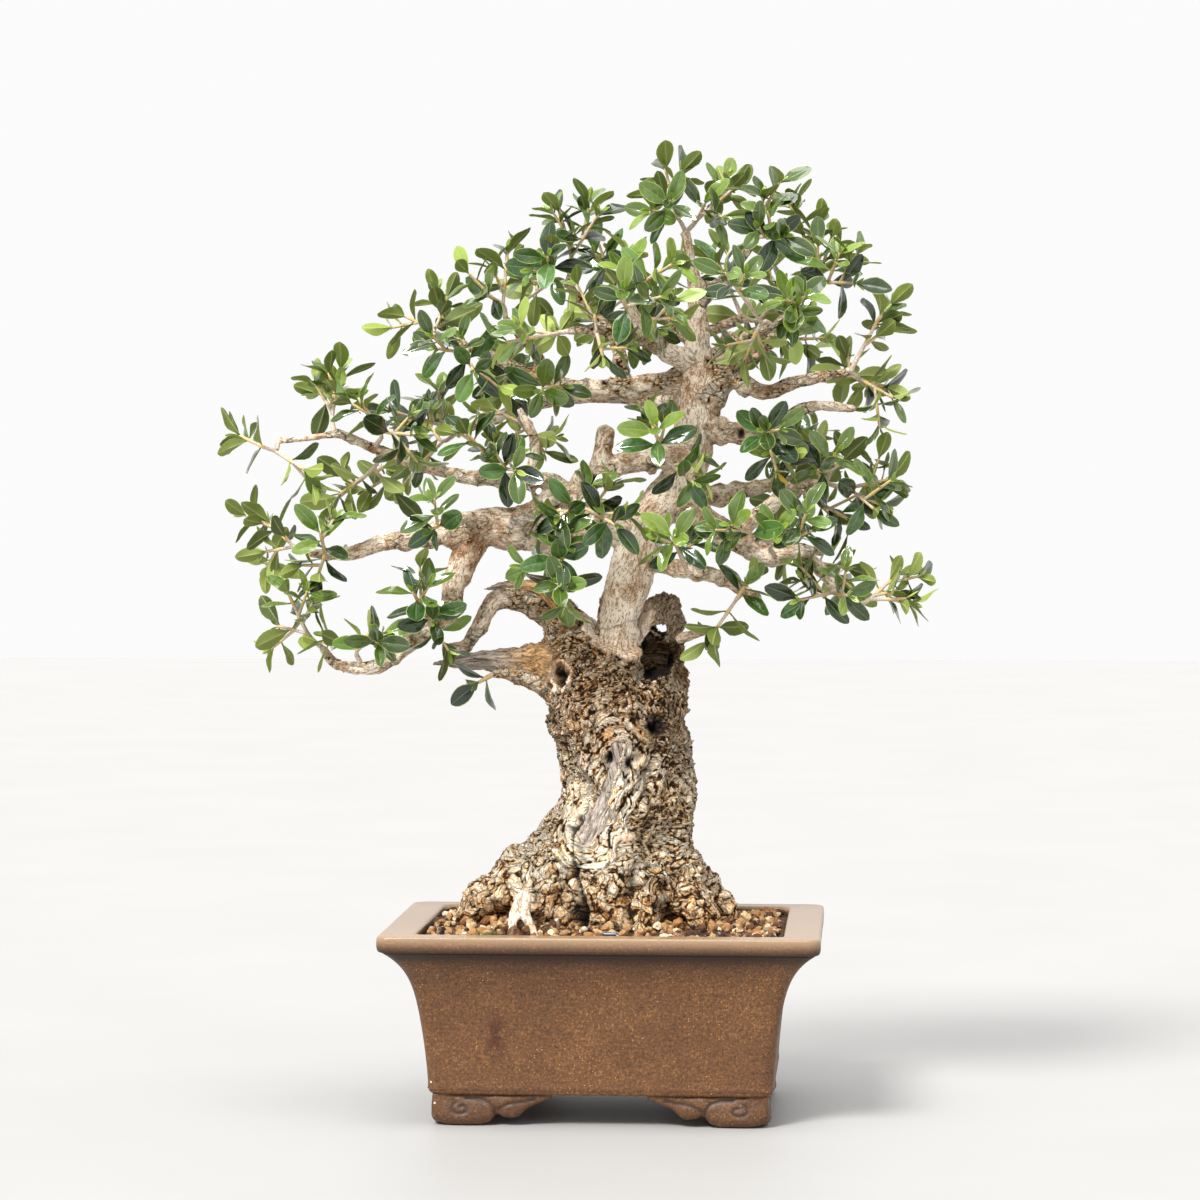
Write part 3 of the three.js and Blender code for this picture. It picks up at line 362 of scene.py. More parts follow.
class Form:
    """Points in mm, faces, the material of each face and named values of each point of a piece."""

    def __init__(self):
        self.points, self.faces, self.kinds, self.values, self.count = [], [], [], [], 0

    def add(self, points, faces, kinds=0, **values):
        """Adds blocks of faces, all of one kind of material or each block of its own."""
        for block, kind in zip(faces, np.broadcast_to(kinds, len(faces))):
            self.faces.append(np.asarray(block, int) + self.count)
            self.kinds.append(np.full(len(block), kind))
        self.points.append(np.asarray(points, float))
        self.values.append((len(points), values))
        self.count += len(points)

    def mesh(self, name):
        sizes = np.concatenate([np.full(len(block), block.shape[1]) for block in self.faces])
        corners = np.concatenate([block.ravel() for block in self.faces])
        mesh = bpy.data.meshes.new(name)
        mesh.vertices.add(self.count)
        mesh.loops.add(len(corners))
        mesh.loops.foreach_set("vertex_index", corners)
        mesh.polygons.add(len(sizes))
        mesh.polygons.foreach_set("loop_start", np.concatenate([[0], np.cumsum(sizes)[:-1]]))
        mesh.polygons.foreach_set("material_index", np.concatenate(self.kinds))
        mesh.polygons.foreach_set("use_smooth", np.ones(len(sizes), bool))
        move_points(mesh, np.vstack(self.points), calc_edges=True)
        for key in sorted({key for _, values in self.values for key in values}):
            column = [np.broadcast_to(values.get(key, 0.0), count) for count, values in self.values]
            store(mesh, **{key: np.concatenate(column)})
        return mesh

    def object(self, name):
        return new_object(name, self.mesh(name))


def move_points(mesh, points, **update):
    mesh.vertices.foreach_set("co", ((points + POT_MIDDLE) * MM).ravel())
    mesh.update(**update)


def store(mesh, **named):
    """Keeps named values, or vectors, for each point of a mesh."""
    for key, values in named.items():
        values = np.asarray(values, np.float32)
        kind, field = ("FLOAT", "value") if values.ndim == 1 else ("FLOAT_VECTOR", "vector")
        mesh.attributes.new(key, kind, "POINT").data.foreach_set(field, values.ravel())


def read(mesh):
    """The place in mm and the normal of each point of a mesh."""
    places, normals = np.empty((2, len(mesh.vertices) * 3), np.float32)
    mesh.vertices.foreach_get("co", places)
    mesh.vertex_normals.foreach_get("vector", normals)
    return places.reshape(-1, 3).astype(float) / MM - POT_MIDDLE, normals.reshape(-1, 3).astype(float)


def loft(rings, sides):
    """Quads between rings of points that follow one another."""
    here = np.arange(sides)
    there = np.roll(here, -1)
    base = np.arange(rings - 1)[:, None] * sides
    quads = np.stack([base + here, base + there, base + sides + there, base + sides + here], -1)
    return quads.reshape(-1, 4)


def closed(rings):
    """Points and faces of a body through rings of points, with flat ends."""
    sides = len(rings[0])
    here = np.arange(sides)[None]
    return np.vstack(rings), [loft(len(rings), sides), here[:, ::-1], (len(rings) - 1) * sides + here]


CAP_BULGE = (0.4, 0.6)  # how far a tube's ends stand out, as shares of its radius there


def tube(path, sides, relief=None):
    """A closed tube along [x, y, z, radius] points. relief(angle, share along) scales the radius."""
    path = np.array(path, float)
    tangents, normals, across = frames_along(path)
    angle = np.arange(sides) * 2 * math.pi / sides
    radius = np.repeat(path[:, 3:4], sides, axis=1)
    if relief:
        radius = radius * relief(angle[None, :], np.linspace(0, 1, len(path))[:, None])
    ring = normals[:, None] * np.cos(angle)[None, :, None] + across[:, None] * np.sin(angle)[None, :, None]
    points = (path[:, None, :3] + ring * radius[..., None]).reshape(-1, 3)
    ends = [
        path[0, :3] - tangents[0] * path[0, 3] * CAP_BULGE[0],
        path[-1, :3] + tangents[-1] * path[-1, 3] * CAP_BULGE[1],
    ]
    here = np.arange(sides)
    there, last = np.roll(here, -1), (len(path) - 1) * sides
    caps = [np.stack([np.full(sides, len(points)), there, here], -1)]
    caps.append(np.stack([np.full(sides, len(points) + 1), last + here, last + there], -1))
    return np.vstack([points, ends]), [loft(len(path), sides), np.vstack(caps)]


def new_object(name, data):
    thing = bpy.data.objects.new(name, data)
    bpy.context.scene.collection.objects.link(thing)
    return thing


def piece_of(mesh, name, materials, slot, *nodes):
    """Puts a finished mesh in the scene as a piece of the tree that stands for CAD nodes."""
    piece = new_object(name, mesh)
    for material in materials:
        mesh.materials.append(material)
    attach(piece, BODY)
    if nodes:
        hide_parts(*nodes)
    return piece


def modify(thing, kind, **settings):
    modifier = thing.modifiers.new(kind.lower(), kind)
    for key, value in settings.items():
        setattr(modifier, key, value)


def shaped(name, *helpers):
    """The mesh that the first helper's modifiers make. The helpers are then removed."""
    bpy.context.view_layer.update()
    mesh = bpy.data.meshes.new_from_object(helpers[0].evaluated_get(bpy.context.evaluated_depsgraph_get()))
    mesh.name = name
    mesh.materials.clear()
    for helper in helpers:
        bpy.data.objects.remove(helper)
    return mesh


def skinned(form, name, voxel, smoothing, cut=None):
    """One even skin over a form of crossing tubes, with another form cut out of it."""
    helpers = [form.object(name)]
    skin = {"mode": "VOXEL", "voxel_size": voxel * MM, "use_smooth_shade": True}
    modify(helpers[0], "REMESH", **skin)
    if cut:
        helpers.append(cut.object(name + "_cut"))
        modify(helpers[0], "BOOLEAN", operation="DIFFERENCE", solver="MANIFOLD", object=helpers[1])
        modify(helpers[0], "REMESH", **skin)
    modify(helpers[0], "SMOOTH", factor=0.5, iterations=smoothing)
    return shaped(name, *helpers)


NOISE_DIMENSION, NOISE_LACUNARITY = 0.9, 2.1


def fractal(points, size, octaves=3, seed=0.0):
    """Soft noise of about that size in mm, from -1 to 1, at each point."""
    places = points / size + seed
    settings = (NOISE_DIMENSION, NOISE_LACUNARITY, octaves)
    return np.array([noise.fractal(place, *settings) for place in places.tolist()])


CHANCE_MIX = np.array([[12.99, 39.35, 73.16], [78.23, 11.14, 52.24], [37.72, 83.16, 9.15]])
CHANCE_SCALE = 4375.85


def plates(points):
    """Plates of about size 1: how far each point is from a crack, its plate's lift and its tilt there."""
    edges, cells = [], []
    for place in points.tolist():
        far, near = noise.voronoi(place)
        edges.append(far[1] - far[0])
        cells.append(near[0][:])
    cells = np.array(cells)
    chance = np.sin(cells @ CHANCE_MIX) * CHANCE_SCALE
    chance -= np.floor(chance)
    tilt = np.sum((points - cells) * (chance * 2 - 1), axis=1)
    return np.array(edges), chance[:, 0], tilt


def line_distance(points, line):
    """How far each point is from a line of (x, z) places, seen from the front."""
    best = np.full(len(points), np.inf)
    flat = points[:, [0, 2]]
    for start, end in zip(line[:-1], line[1:]):
        start, step = np.array(start, float), np.array(end, float) - start
        t = np.clip((flat - start) @ step / (step @ step), 0, 1)
        best = np.minimum(best, np.linalg.norm(flat - start - t[:, None] * step, axis=1))
    return best


LIMB_APART = 500  # mm between the grains of two limbs, so that their fibres differ
MERGE = 1.6  # mm over which limbs that meet blend


def grown_along(limbs, points, reach=14.0):
    """For each point its place along and across its nearest limb, that limb's radius, and how rough
    and dead the wood is there, each blended between the limbs that meet."""
    best = np.full(len(points), np.inf)
    grain = points.copy()
    width = np.full(len(points), 10.0)
    shares, values = np.full(len(points), 1e-9), np.zeros((len(points), 2))
    for index, (limb, rough, dead) in enumerate(limbs):
        path = spline(limb, 6.0)
        centre, radius = path[:, :3], path[:, 3]
        low, high = (centre - radius[:, None]).min(0) - reach, (centre + radius[:, None]).max(0) + reach
        near = np.flatnonzero(np.all((points > low) & (points < high), axis=1))
        if not len(near):
            continue
        start, step = centre[:-1], np.diff(centre, axis=0)
        lengths = np.linalg.norm(step, axis=1)
        distance, share = [], []
        for s, d, length, r0, r1 in zip(start, step, lengths, radius[:-1], radius[1:]):
            t = np.clip((points[near] - s) @ d / length**2, 0, 1)
            from_line = np.linalg.norm(points[near] - s - t[:, None] * d, axis=1)
            distance.append(from_line - (r0 + t * (r1 - r0)))
            share.append(t)
        distance, share = np.array(distance), np.array(share)
        pick = distance.argmin(0)
        rows = np.arange(len(near))
        gap, t = distance[pick, rows], share[pick, rows]
        _, normals, across = frames_along(path)
        offset = points[near] - start[pick] - t[:, None] * step[pick]
        along = np.concatenate([[0], np.cumsum(lengths)])[pick] + t * lengths[pick] + LIMB_APART * index
        place = np.stack([along, (offset * normals[pick]).sum(1), (offset * across[pick]).sum(1)], 1)
        closer = gap < best[near]
        best[near[closer]] = gap[closer]
        grain[near[closer]] = place[closer]
        width[near[closer]] = radius[:-1][pick][closer]
        weight = np.exp(np.clip(-gap, -20, 20) / MERGE)
        shares[near] += weight
        values[near] += weight[:, None] * (rough, dead)
    values /= shares[:, None]
    return grain, width, values[:, 0], values[:, 1]


def scars_relief(points, scars):
    """Relief, painted shade inside and pale callus of knot holes, cuts and knobs."""
    relief, dark, callus = np.zeros((3, len(points)))
    uneven = fractal(points, 5.0, 3, 71.0)
    for x, y, z, radius, depth, lip in scars:
        far = np.linalg.norm((points - (x, y, z)) * (1, 0.35, 0.75), axis=1) / radius
        far += 0.5 * uneven * min(1.0, 4 / radius)
        ring = bell(far - 1.65, 0.35)
        relief += lip * ring - depth * np.exp(-(far**2) * (0.9 if depth < 0 else 1.6))
        callus = np.maximum(callus, ring * min(1.0, 0.6 * lip))
        # Holes get painted shade inside.
        if depth > 0:
            dark = np.maximum(dark, np.exp(-((far / 1.25) ** 6)))
    return relief, dark, callus


# ---- materials ----

BLEND = {"data_type": "RGBA"}
TINT = {"data_type": "RGBA", "blend_type": "MULTIPLY"}
CRACKS = {"feature": "DISTANCE_TO_EDGE"}


def add_node(tree, kind, *values, out=None, stops=(), **settings):
    """Adds a node with its settings, its links and a ramp's stops, and gives its output of that name.

    Math.ADD is the Math node set to ADD. The values and the other nodes' outputs go to the node's
    sockets in their order, or by name where they stand in a dict. A text is an sRGB hex colour.
    """
    kind, _, operation = kind.partition(".")
    node = tree.nodes.new("ShaderNode" + kind)
    if operation:
        settings["operation"] = operation
    for key, value in settings.items():
        setattr(node, key, value)
    while stops and len(node.color_ramp.elements) < len(stops):
        node.color_ramp.elements.new(0.5)
    for index, (position, colour) in enumerate(stops):
        node.color_ramp.elements[index].position = position
        node.color_ramp.elements[index].color = rgba(colour)
    *values, named = values if values and isinstance(values[-1], dict) else (*values, {})
    sockets = [socket for socket in node.inputs if socket.enabled]
    for socket, value in [*zip(sockets, values), *((node.inputs[key], named[key]) for key in named)]:
        if isinstance(value, bpy.types.NodeSocket):
            tree.links.new(value, socket)
        else:
            socket.default_value = rgba(value) if isinstance(value, str) else value
    outputs = [socket for socket in node.outputs if socket.enabled and out in (None, socket.name)]
    return outputs[0] if outputs else node


def finish(name, recipe, *colours):
    """A material whose recipe(add, place, colours) adds nodes and gives the Principled node's inputs.

    The place on the object is in mm, so that a pattern's scale is one over its real size in mm. The
    bump is a height and how many mm of relief it stands for.
    """
    material = bpy.data.materials.new(name)
    material.use_nodes = True
    tree = material.node_tree
    tree.nodes.clear()

    def add(*values, **settings):
        return add_node(tree, *values, **settings)

    place = add("VectorMath.SCALE", add("TexCoord", out="Object"), 1 / MM)
    inputs = recipe(add, place, *colours)
    if "bump" in inputs:
        height, depth = inputs.pop("bump")
        inputs["Normal"] = add("Bump", {"Height": height, "Distance": depth * MM})
    add("OutputMaterial", add("BsdfPrincipled", inputs))
    return material


def olive_wood(add, place, colours):
    """Old olive bark, smooth limb bark and bare dead wood, grown into one another.

    Bark is corky and broken into dry plates: fully matte, cream on the plates and near black in the
    cracks, a black that is partly painted shade. Young limbs have thin smooth grey bark. Dead wood is
    silvery, with fibres along the limb.
    """
    grain, flow = (add("Attribute", attribute_name=name, out="Vector") for name in ("grain", "flow"))
    relief, rough, dead, dark, tone = (
        add("Attribute", attribute_name=name, out="Fac")
        for name in ("relief", "rough", "dead", "dark", "tone")
    )
    fine = add("TexNoise", place, 1 / 1.1, 4.0, 0.65)
    patch = add("TexNoise", place, 1 / 13.0, 4.0, 0.55)
    drift = add("VectorMath.MULTIPLY", add("TexNoise", flow, 1 / 5.0, 3.0, out="Color"), (6.0, 6.0, 6.0))
    # Flakes of 2.4 mm lie over finer scales of 1.1 mm, each of a colour of its own.
    bent = add("VectorMath.ADD", flow, drift)
    open_crack = add("MapRange", add("TexVoronoi", bent, 1 / 2.4, **CRACKS), 0.0, 0.1)
    open_check = add("MapRange", add("TexVoronoi", bent, 1 / 1.1, **CRACKS), 0.0, 0.08)
    own = add("SeparateColor", add("TexVoronoi", bent, 1 / 2.4, out="Color")).node.outputs
    # Seams between the corky plates, 5 mm apart and 0.5 mm wide.
    calm = add("VectorMath.ADD", flow, add("VectorMath.MULTIPLY", drift, (0.4, 0.4, 0.4)))
    open_seam = add("MapRange", add("TexVoronoi", calm, 1 / 5.0, **CRACKS), 0.02, 0.1)
    # Plates are the lighter the higher they stand, partly their own colour and partly painted shade in the
    # lows, and lighter at the foot than under the crown.
    height = add("Math.MULTIPLY", relief, 0.95)
    for part, share in ((own[0], add("MapRange", tone, 0.0, 1.0, 0.16, 0.5)), (fine, 0.7), (patch, 0.9)):
        height = add("Math.ADD", height, add("Math.MULTIPLY", part, share))
    height = add("Math.SUBTRACT", height, add("MapRange", tone, 0.0, 1.0, 0.67, 0.97))
    bark = add("ValToRGB", height, stops=(
        (0.1, "150d07"), (0.24, "3d2716"), (0.34, colours.bark_dark), (0.46, colours.bark_mid),
        (0.62, colours.bark_light), (0.85, "fff3dc"),
    ))
    low = add("MapRange", relief, 0.7, 0.25, 0.25, 0.95)
    low_share = add("Math.MULTIPLY", low, add("MapRange", tone, 0.0, 1.0, 0.8, 1.2))
    foot = add("MapRange", add("SeparateXYZ", place, out="Z"), 118.0, 92.0, 0.0, 0.75)
    thin_share = add("MapRange", tone, 0.0, 1.0, 0.1, 0.5)
    seam, crack, check = (add("Math.SUBTRACT", 1.0, edge) for edge in (open_seam, open_crack, open_check))
    warm = add("Mix", 0.5, bark, "e2b87e", **TINT)
    # Seams, cracks and checks are near black, the more where the relief is low: partly their own dark
    # colour, partly painted shade.
    for share, colour, blend in (
        (add("MapRange", own[1], 0.5, 1.0), warm, BLEND), (foot, "f0cb96", TINT),
        (add("Math.MULTIPLY", seam, add("Math.ADD", low, 0.3), use_clamp=True), "170e07", BLEND),
        (add("Math.MULTIPLY", crack, low_share, use_clamp=True), "24170d", BLEND),
        (add("Math.MULTIPLY", check, thin_share), "4a331e", BLEND),
        (add("MapRange", tone, 0.0, 1.0, 0.0, 0.4), "b08c62", TINT),
    ):
        bark = add("Mix", share, bark, colour, **blend)
    # Smooth bark: streaks 2 mm wide and 7 mm long over patches and fine mottle.
    streak = add("TexNoise", add("VectorMath.MULTIPLY", grain, (0.15, 0.5, 0.5)), 1.0, 4.0, 0.6)
    blend = add("Math.ADD", add("Math.MULTIPLY", streak, 0.35), add("Math.MULTIPLY", patch, 0.65))
    mottle = add("Math.MULTIPLY", add("Math.SUBTRACT", fine, 0.5), 0.5)
    skin = add("ValToRGB", add("Math.ADD", blend, mottle), stops=(
        (0.3, "8d6e52"), (0.4, "c8aa8b"), (0.48, "ead8c1"), (0.58, "efe3d0"), (0.75, "fbf5ea"),
    ))
    wide_patch = add("Math.ADD", rough, add("TexNoise", place, 1 / 24.0, 3.0, 0.55))
    skin = add("Mix", add("MapRange", wide_patch, 0.75, 1.25), skin, "b08661", **TINT)
    # Pores lie along the limb, 1 mm wide and 3 mm long.
    pore_place = add("VectorMath.MULTIPLY", grain, (0.4, 1.0, 1.0))
    pore = add("TexNoise", pore_place, 1.0, 2.0, 0.6, {"Distortion": 0.8})
    open_pore = add("MapRange", pore, 0.52, 0.62)
    skin = add("Mix", add("Math.MULTIPLY", open_pore, 0.75), skin, "86603c", **BLEND)
    # Dead wood: fibres 1.5 mm wide and 20 mm long, silver where old and golden where fresh.
    fibre = add("TexNoise", add("VectorMath.MULTIPLY", grain, (0.05, 0.65, 0.65)), 1.0, 5.0, 0.75)
    silver = add("ValToRGB", fibre, stops=(
        (0.3, "2b2118"), (0.4, "64574b"), (0.5, "9b8f83"), (0.62, "c6bbae"), (0.8, "ece3d7"),
    ))
    golden = add("ValToRGB", fibre, stops=(
        (0.3, "23160b"), (0.4, "5f4125"), (0.5, "99713f"), (0.62, "c9a26c"), (0.8, "eed6a8"),
    ))
    uneven = add("Math.MULTIPLY", add("Math.SUBTRACT", patch, 0.5), 0.8)
    rough_here = add("MapRange", add("Math.ADD", rough, uneven), 0.35, 0.65)
    colour = add("Mix", rough_here, skin, bark, **BLEND)
    colour = add("Mix", dead, colour, add("Mix", tone, silver, golden, **BLEND), **BLEND)
    # Painted shade, near black, in holes, the split, the folds and the hollow stump.
    colour = add("Mix", dark, colour, "1b130d", **BLEND)
    scale_rise = add("Math.ADD", add("Math.MULTIPLY", open_check, 0.4), own[0])
    bump = add("Math.MULTIPLY", open_crack, scale_rise)
    bump = add("Math.ADD", bump, add("Math.MULTIPLY", open_seam, 0.8))
    bump = add("Math.MULTIPLY", bump, rough_here)
    for part, share in ((open_pore, -0.25), (fine, 0.5), (fibre, 0.4)):
        bump = add("Math.ADD", bump, add("Math.MULTIPLY", part, share))
    return {"Base Color": colour, "Roughness": 0.9, "IOR": 1.33, "bump": (bump, 0.9)}


LEAF_GLOW = {"Subsurface Weight": 0.12, "Subsurface Radius": (0.5, 1.0, 0.25), "Subsurface Scale": 0.8 * MM}
LEAF_FOOT = "cdbb62"  # the yellow stalk of a leaf


def leaf_upper(add, place, colours):
    """Waxy upper side of an olive leaf: deep green, glossy, with a pale midrib and margin."""
    along, across, tone, age = (
        add("Attribute", attribute_name=name, out="Fac") for name in ("along", "across", "tone", "age")
    )
    mottle = add("TexNoise", place, 1 / 2.2, 3.0, 0.55)
    shade = add("Math.ADD", tone, add("Math.MULTIPLY", add("Math.SUBTRACT", mottle, 0.5), 0.5))
    old = add("ValToRGB", shade, stops=(
        (0.0, "0b1c08"), (0.4, colours.leaf_dark), (0.8, colours.leaf_mid), (1.0, "466b2b"),
    ))
    young = add("ValToRGB", shade, stops=((0.0, "456324"), (0.5, colours.leaf_young), (1.0, "9eb049")))
    side = add("Math.ABSOLUTE", across)
    rib = add("MapRange", side, 0.02, 0.07, 1.0, 0.0)
    edge = add("MapRange", side, 0.9, 0.97)
    # About ten veins on each side slant forward from the midrib.
    slant = add("Math.ADD", add("Math.MULTIPLY", along, 60.0), add("Math.MULTIPLY", side, -14.0))
    vein = add("MapRange", add("Math.SINE", slant), 0.8, 1.0, 0.0, 0.16)
    colour = add("Mix", age, young, old, **BLEND)
    for share, tint in (
        (vein, "5f7d48"), (add("Math.MULTIPLY", rib, 0.24), "b5c266"),
        (add("Math.MULTIPLY", edge, 0.75), "b5c266"), (add("MapRange", along, 0.1, 0.0), LEAF_FOOT),
        (add("MapRange", age, 1.2, 1.4), "edc41f"),
    ):
        colour = add("Mix", share, colour, tint, **BLEND)
    height = add("Math.SUBTRACT", add("Math.MULTIPLY", mottle, 0.4), add("Math.MULTIPLY", vein, 1.5))
    return {
        "Base Color": colour, "Roughness": 0.35, "IOR": 1.35, "Coat Weight": 1.0, "Coat Roughness": 0.09,
        **LEAF_GLOW, "bump": (height, 0.12),
    }


def leaf_lower(add, place, colours):
    """Underside of an olive leaf: a dry felt of tiny scales, matte and olive, with a raised pale midrib."""
    along, across, tone, age = (
        add("Attribute", attribute_name=name, out="Fac") for name in ("along", "across", "tone", "age")
    )
    felt = add("TexNoise", place, 1 / 0.7, 3.0, 0.55)
    shade = add("Math.ADD", tone, add("Math.MULTIPLY", add("Math.SUBTRACT", felt, 0.5), 0.4))
    old = add("ValToRGB", shade, stops=((0.0, "4b582c"), (0.5, colours.leaf_under), (1.0, "8a9650")))
    young = add("ValToRGB", shade, stops=((0.0, "6f8038"), (0.5, "8b9c42"), (1.0, "a9b65c")))
    rib = add("MapRange", add("Math.ABSOLUTE", across), 0.04, 0.12, 0.35, 0.0)
    colour = add("Mix", rib, add("Mix", age, young, old, **BLEND), "d3d89a", **BLEND)
    colour = add("Mix", add("MapRange", along, 0.1, 0.0), colour, LEAF_FOOT, **BLEND)
    return {"Base Color": colour, "Roughness": 0.62, "IOR": 1.45, **LEAF_GLOW, "bump": (felt, 0.1)}


def twig_bark(add, place):
    """Thin bark of the youngest olive twigs: smooth, pale grey-beige, orange at the leaf joints."""
    flecks = add("TexNoise", place, 1 / 0.9, 3.0, 0.55)
    colour = add("ValToRGB", flecks, stops=((0.3, "9d8a78"), (0.5, "ccb8a4"), (0.7, "e2d5c5")))
    colour = add("Mix", add("Attribute", attribute_name="age", out="Fac"), "b9bd72", colour, **BLEND)
    colour = add("Mix", add("Attribute", attribute_name="joint", out="Fac"), colour, "d9b45c", **BLEND)
    return {"Base Color": colour, "Roughness": 0.6, "IOR": 1.45, "bump": (flecks, 0.15)}


SMEAR_PLACE = np.array([-49, -64, 43])  # a dark run of clay on the pot's front
SMEAR_SIZE = np.array([5, 20, 13])


def stoneware(add, place, colours):
    """Unglazed reduction-fired stoneware, ribbed smooth: satin brown, with iron specks of about 0.5 mm."""
    shadow, dust = (add("Attribute", attribute_name=name, out="Fac") for name in ("shadow", "dust"))
    cloud = add("TexNoise", place, 1 / 28.0, 4.0, 0.55)
    streak = add("TexNoise", add("VectorMath.MULTIPLY", place, (0.1, 0.1, 1.0)), 1 / 1.1, 4.0, 0.6)
    tooth = add("TexNoise", place, 1 / 1.3, 5.0, 0.8)
    shade = add("Math.ADD", add("Math.MULTIPLY", cloud, 0.16), add("Math.MULTIPLY", streak, 0.14))
    shade = add("Math.ADD", shade, add("Math.MULTIPLY", tooth, 0.9))
    colour = add("ValToRGB", shade, stops=(
        (0.42, "2c1b0d"), (0.56, colours.clay), (0.66, "6c4727"), (0.78, "9b6e43"),
    ))
    # Iron specks stand 1.2 mm apart in crowds of 26 mm, and pale ones 9 mm apart.
    dots = add("TexVoronoi", place, 1 / 1.2).node.outputs
    chance = add("SeparateColor", dots["Color"]).node.outputs
    crowd = add("Math.MULTIPLY", add("TexNoise", place, 1 / 26.0, 3.0, 0.55), 1.6)
    chosen = add("MapRange", add("Math.ADD", chance["Red"], crowd), 1.5, 1.7)
    spot = add("Math.MULTIPLY", add("MapRange", dots["Distance"], 0.34, 0.12), chance["Blue"])
    lights = add("TexVoronoi", place, 1 / 9.0).node.outputs
    rare = add("MapRange", add("SeparateColor", lights["Color"], out="Green"), 0.93, 0.95)
    middle = ((SMEAR_PLACE + POT_MIDDLE) / SMEAR_SIZE).tolist()
    spread = add("VectorMath.MULTIPLY", place, (1 / SMEAR_SIZE).tolist())
    from_middle = add("VectorMath.DISTANCE", spread, middle, out="Value")
    patchy = add("MapRange", add("TexNoise", place, 1 / 6.0, 4.0, 0.6), 0.4, 0.5)
    smear = add("Math.MULTIPLY", add("MapRange", from_middle, 1.3, 0.2), patchy)
    for share, tint in (
        (add("Math.MULTIPLY", add("Math.MULTIPLY", spot, chosen), 0.85), "d39a4c"),
        (add("Math.MULTIPLY", add("MapRange", lights["Distance"], 0.07, 0.04), rare), "e8e0d0"),
        # The dark smear, then painted shade under the rim, inside the pot and on the feet.
        (add("Math.MULTIPLY", smear, 0.85), "401b05"), (shadow, "2c1b10"),
        # A painted sheen that lightens the rim, which is also glossier there.
        (add("Math.MULTIPLY", dust, 0.55), "b59b7c"),
    ):
        colour = add("Mix", share, colour, tint, **BLEND)
    height = add("Math.ADD", add("Math.MULTIPLY", tooth, 0.6), add("Math.MULTIPLY", streak, 0.5))
    gloss = add("MapRange", dust, 0.0, 1.0, 0.5, 0.25)
    return {"Base Color": colour, "Roughness": gloss, "IOR": 1.45, "bump": (height, 0.12)}


def grain_stone(add, place, colours):
    """Pumice and akadama, broken volcanic grains: porous, fully matte, cream, ochre and brown."""
    pores = add("TexNoise", place, 1 / 0.9, 4.0, 0.7)
    patch = add("TexNoise", place, 1 / 3.0, 2.0, 0.55)
    colour = add("ValToRGB", add("Attribute", attribute_name="tone", out="Fac"), stops=(
        (0.0, "e8d8b8"), (0.12, colours.pumice), (0.22, "cdb080"), (0.34, "a68155"),
        (0.55, colours.akadama), (0.72, "7b4c26"), (0.86, "4c311c"), (1.0, "2a1b11"),
    ))
    colour = add("Mix", add("MapRange", pores, 0.52, 0.3, 0.0, 0.6), colour, "4d3520", **BLEND)
    colour = add("Mix", add("MapRange", patch, 0.55, 0.75, 0.0, 0.35), colour, "f0e4cc", **BLEND)
    return {"Base Color": colour, "Roughness": 0.92, "IOR": 1.5, "bump": (pores, 0.4)}


def soil_fines(add, place):
    """Damp fines between the grains: crumbly, dark brown and matte, with crumbs of about 1.5 mm."""
    lump = add("TexNoise", place, 1 / 5.0, 4.0, 0.6)
    colour = add("ValToRGB", lump, stops=(
        (0.3, "22150c"), (0.5, "47301b"), (0.66, "6e4a2a"), (0.85, "a07a4a"),
    ))
    crumbs = add("Math.MULTIPLY", add("TexVoronoi", place, 1 / 1.5), 0.6)
    height = add("Math.SUBTRACT", lump, crumbs)
    return {"Base Color": colour, "Roughness": 0.95, "IOR": 1.45, "bump": (height, 0.9)}


def cushion_moss(add, place):
    """Living cushion moss: tiny leaflets, matte yellow-green with darker depths."""
    tips = add("TexNoise", place, 1 / 1.2, 3.0, 0.55)
    colour = add("ValToRGB", tips, stops=((0.3, "27350f"), (0.5, "50691f"), (0.7, "8a9c35")))
    return {"Base Color": colour, "Roughness": 0.9, "IOR": 1.4, "bump": (tips, 0.4)}


def anodised_wire(add, place):
    """Anodised aluminium bonsai wire: drawn and dyed, a satin slate-blue metal with fine drawing lines."""
    lines = add("TexNoise", add("VectorMath.MULTIPLY", place, (0.3, 3.0, 3.0)), 1.0, 3.0, 0.55)
    colour = add("ValToRGB", lines, stops=((0.3, "4b5663"), (0.55, "64717f"), (0.8, "8b96a1")))
    satin = add("MapRange", lines, 0.3, 0.7, 0.34, 0.5)
    return {"Base Color": colour, "Metallic": 1.0, "Roughness": satin}


def screen_plastic(add, place):
    """Injection-moulded polyethylene screen: near black, with a fine spark-eroded grain of 0.4 mm."""
    grain = add("TexNoise", place, 1 / 0.4, 3.0, 0.55)
    colour = add("ValToRGB", grain, stops=((0.3, "191815"), (0.7, "2d2b26")))
    return {"Base Color": colour, "Roughness": 0.55, "IOR": 1.51, "bump": (grain, 0.06)}


def painted_floor(add, place, colours):
    """Pale matt emulsion paint on a flat board, slightly uneven in tone."""
    haze = add("TexNoise", place, 1 / 160.0, 2.0, 0.55)
    paler = [min(1.0, part * 1.04) for part in colours.floor]
    return {
        "Base Color": add("ValToRGB", haze, stops=((0.3, colours.floor), (0.7, paler))),
        "Roughness": 0.5, "IOR": 1.5,
    }


# ---- the wood ----

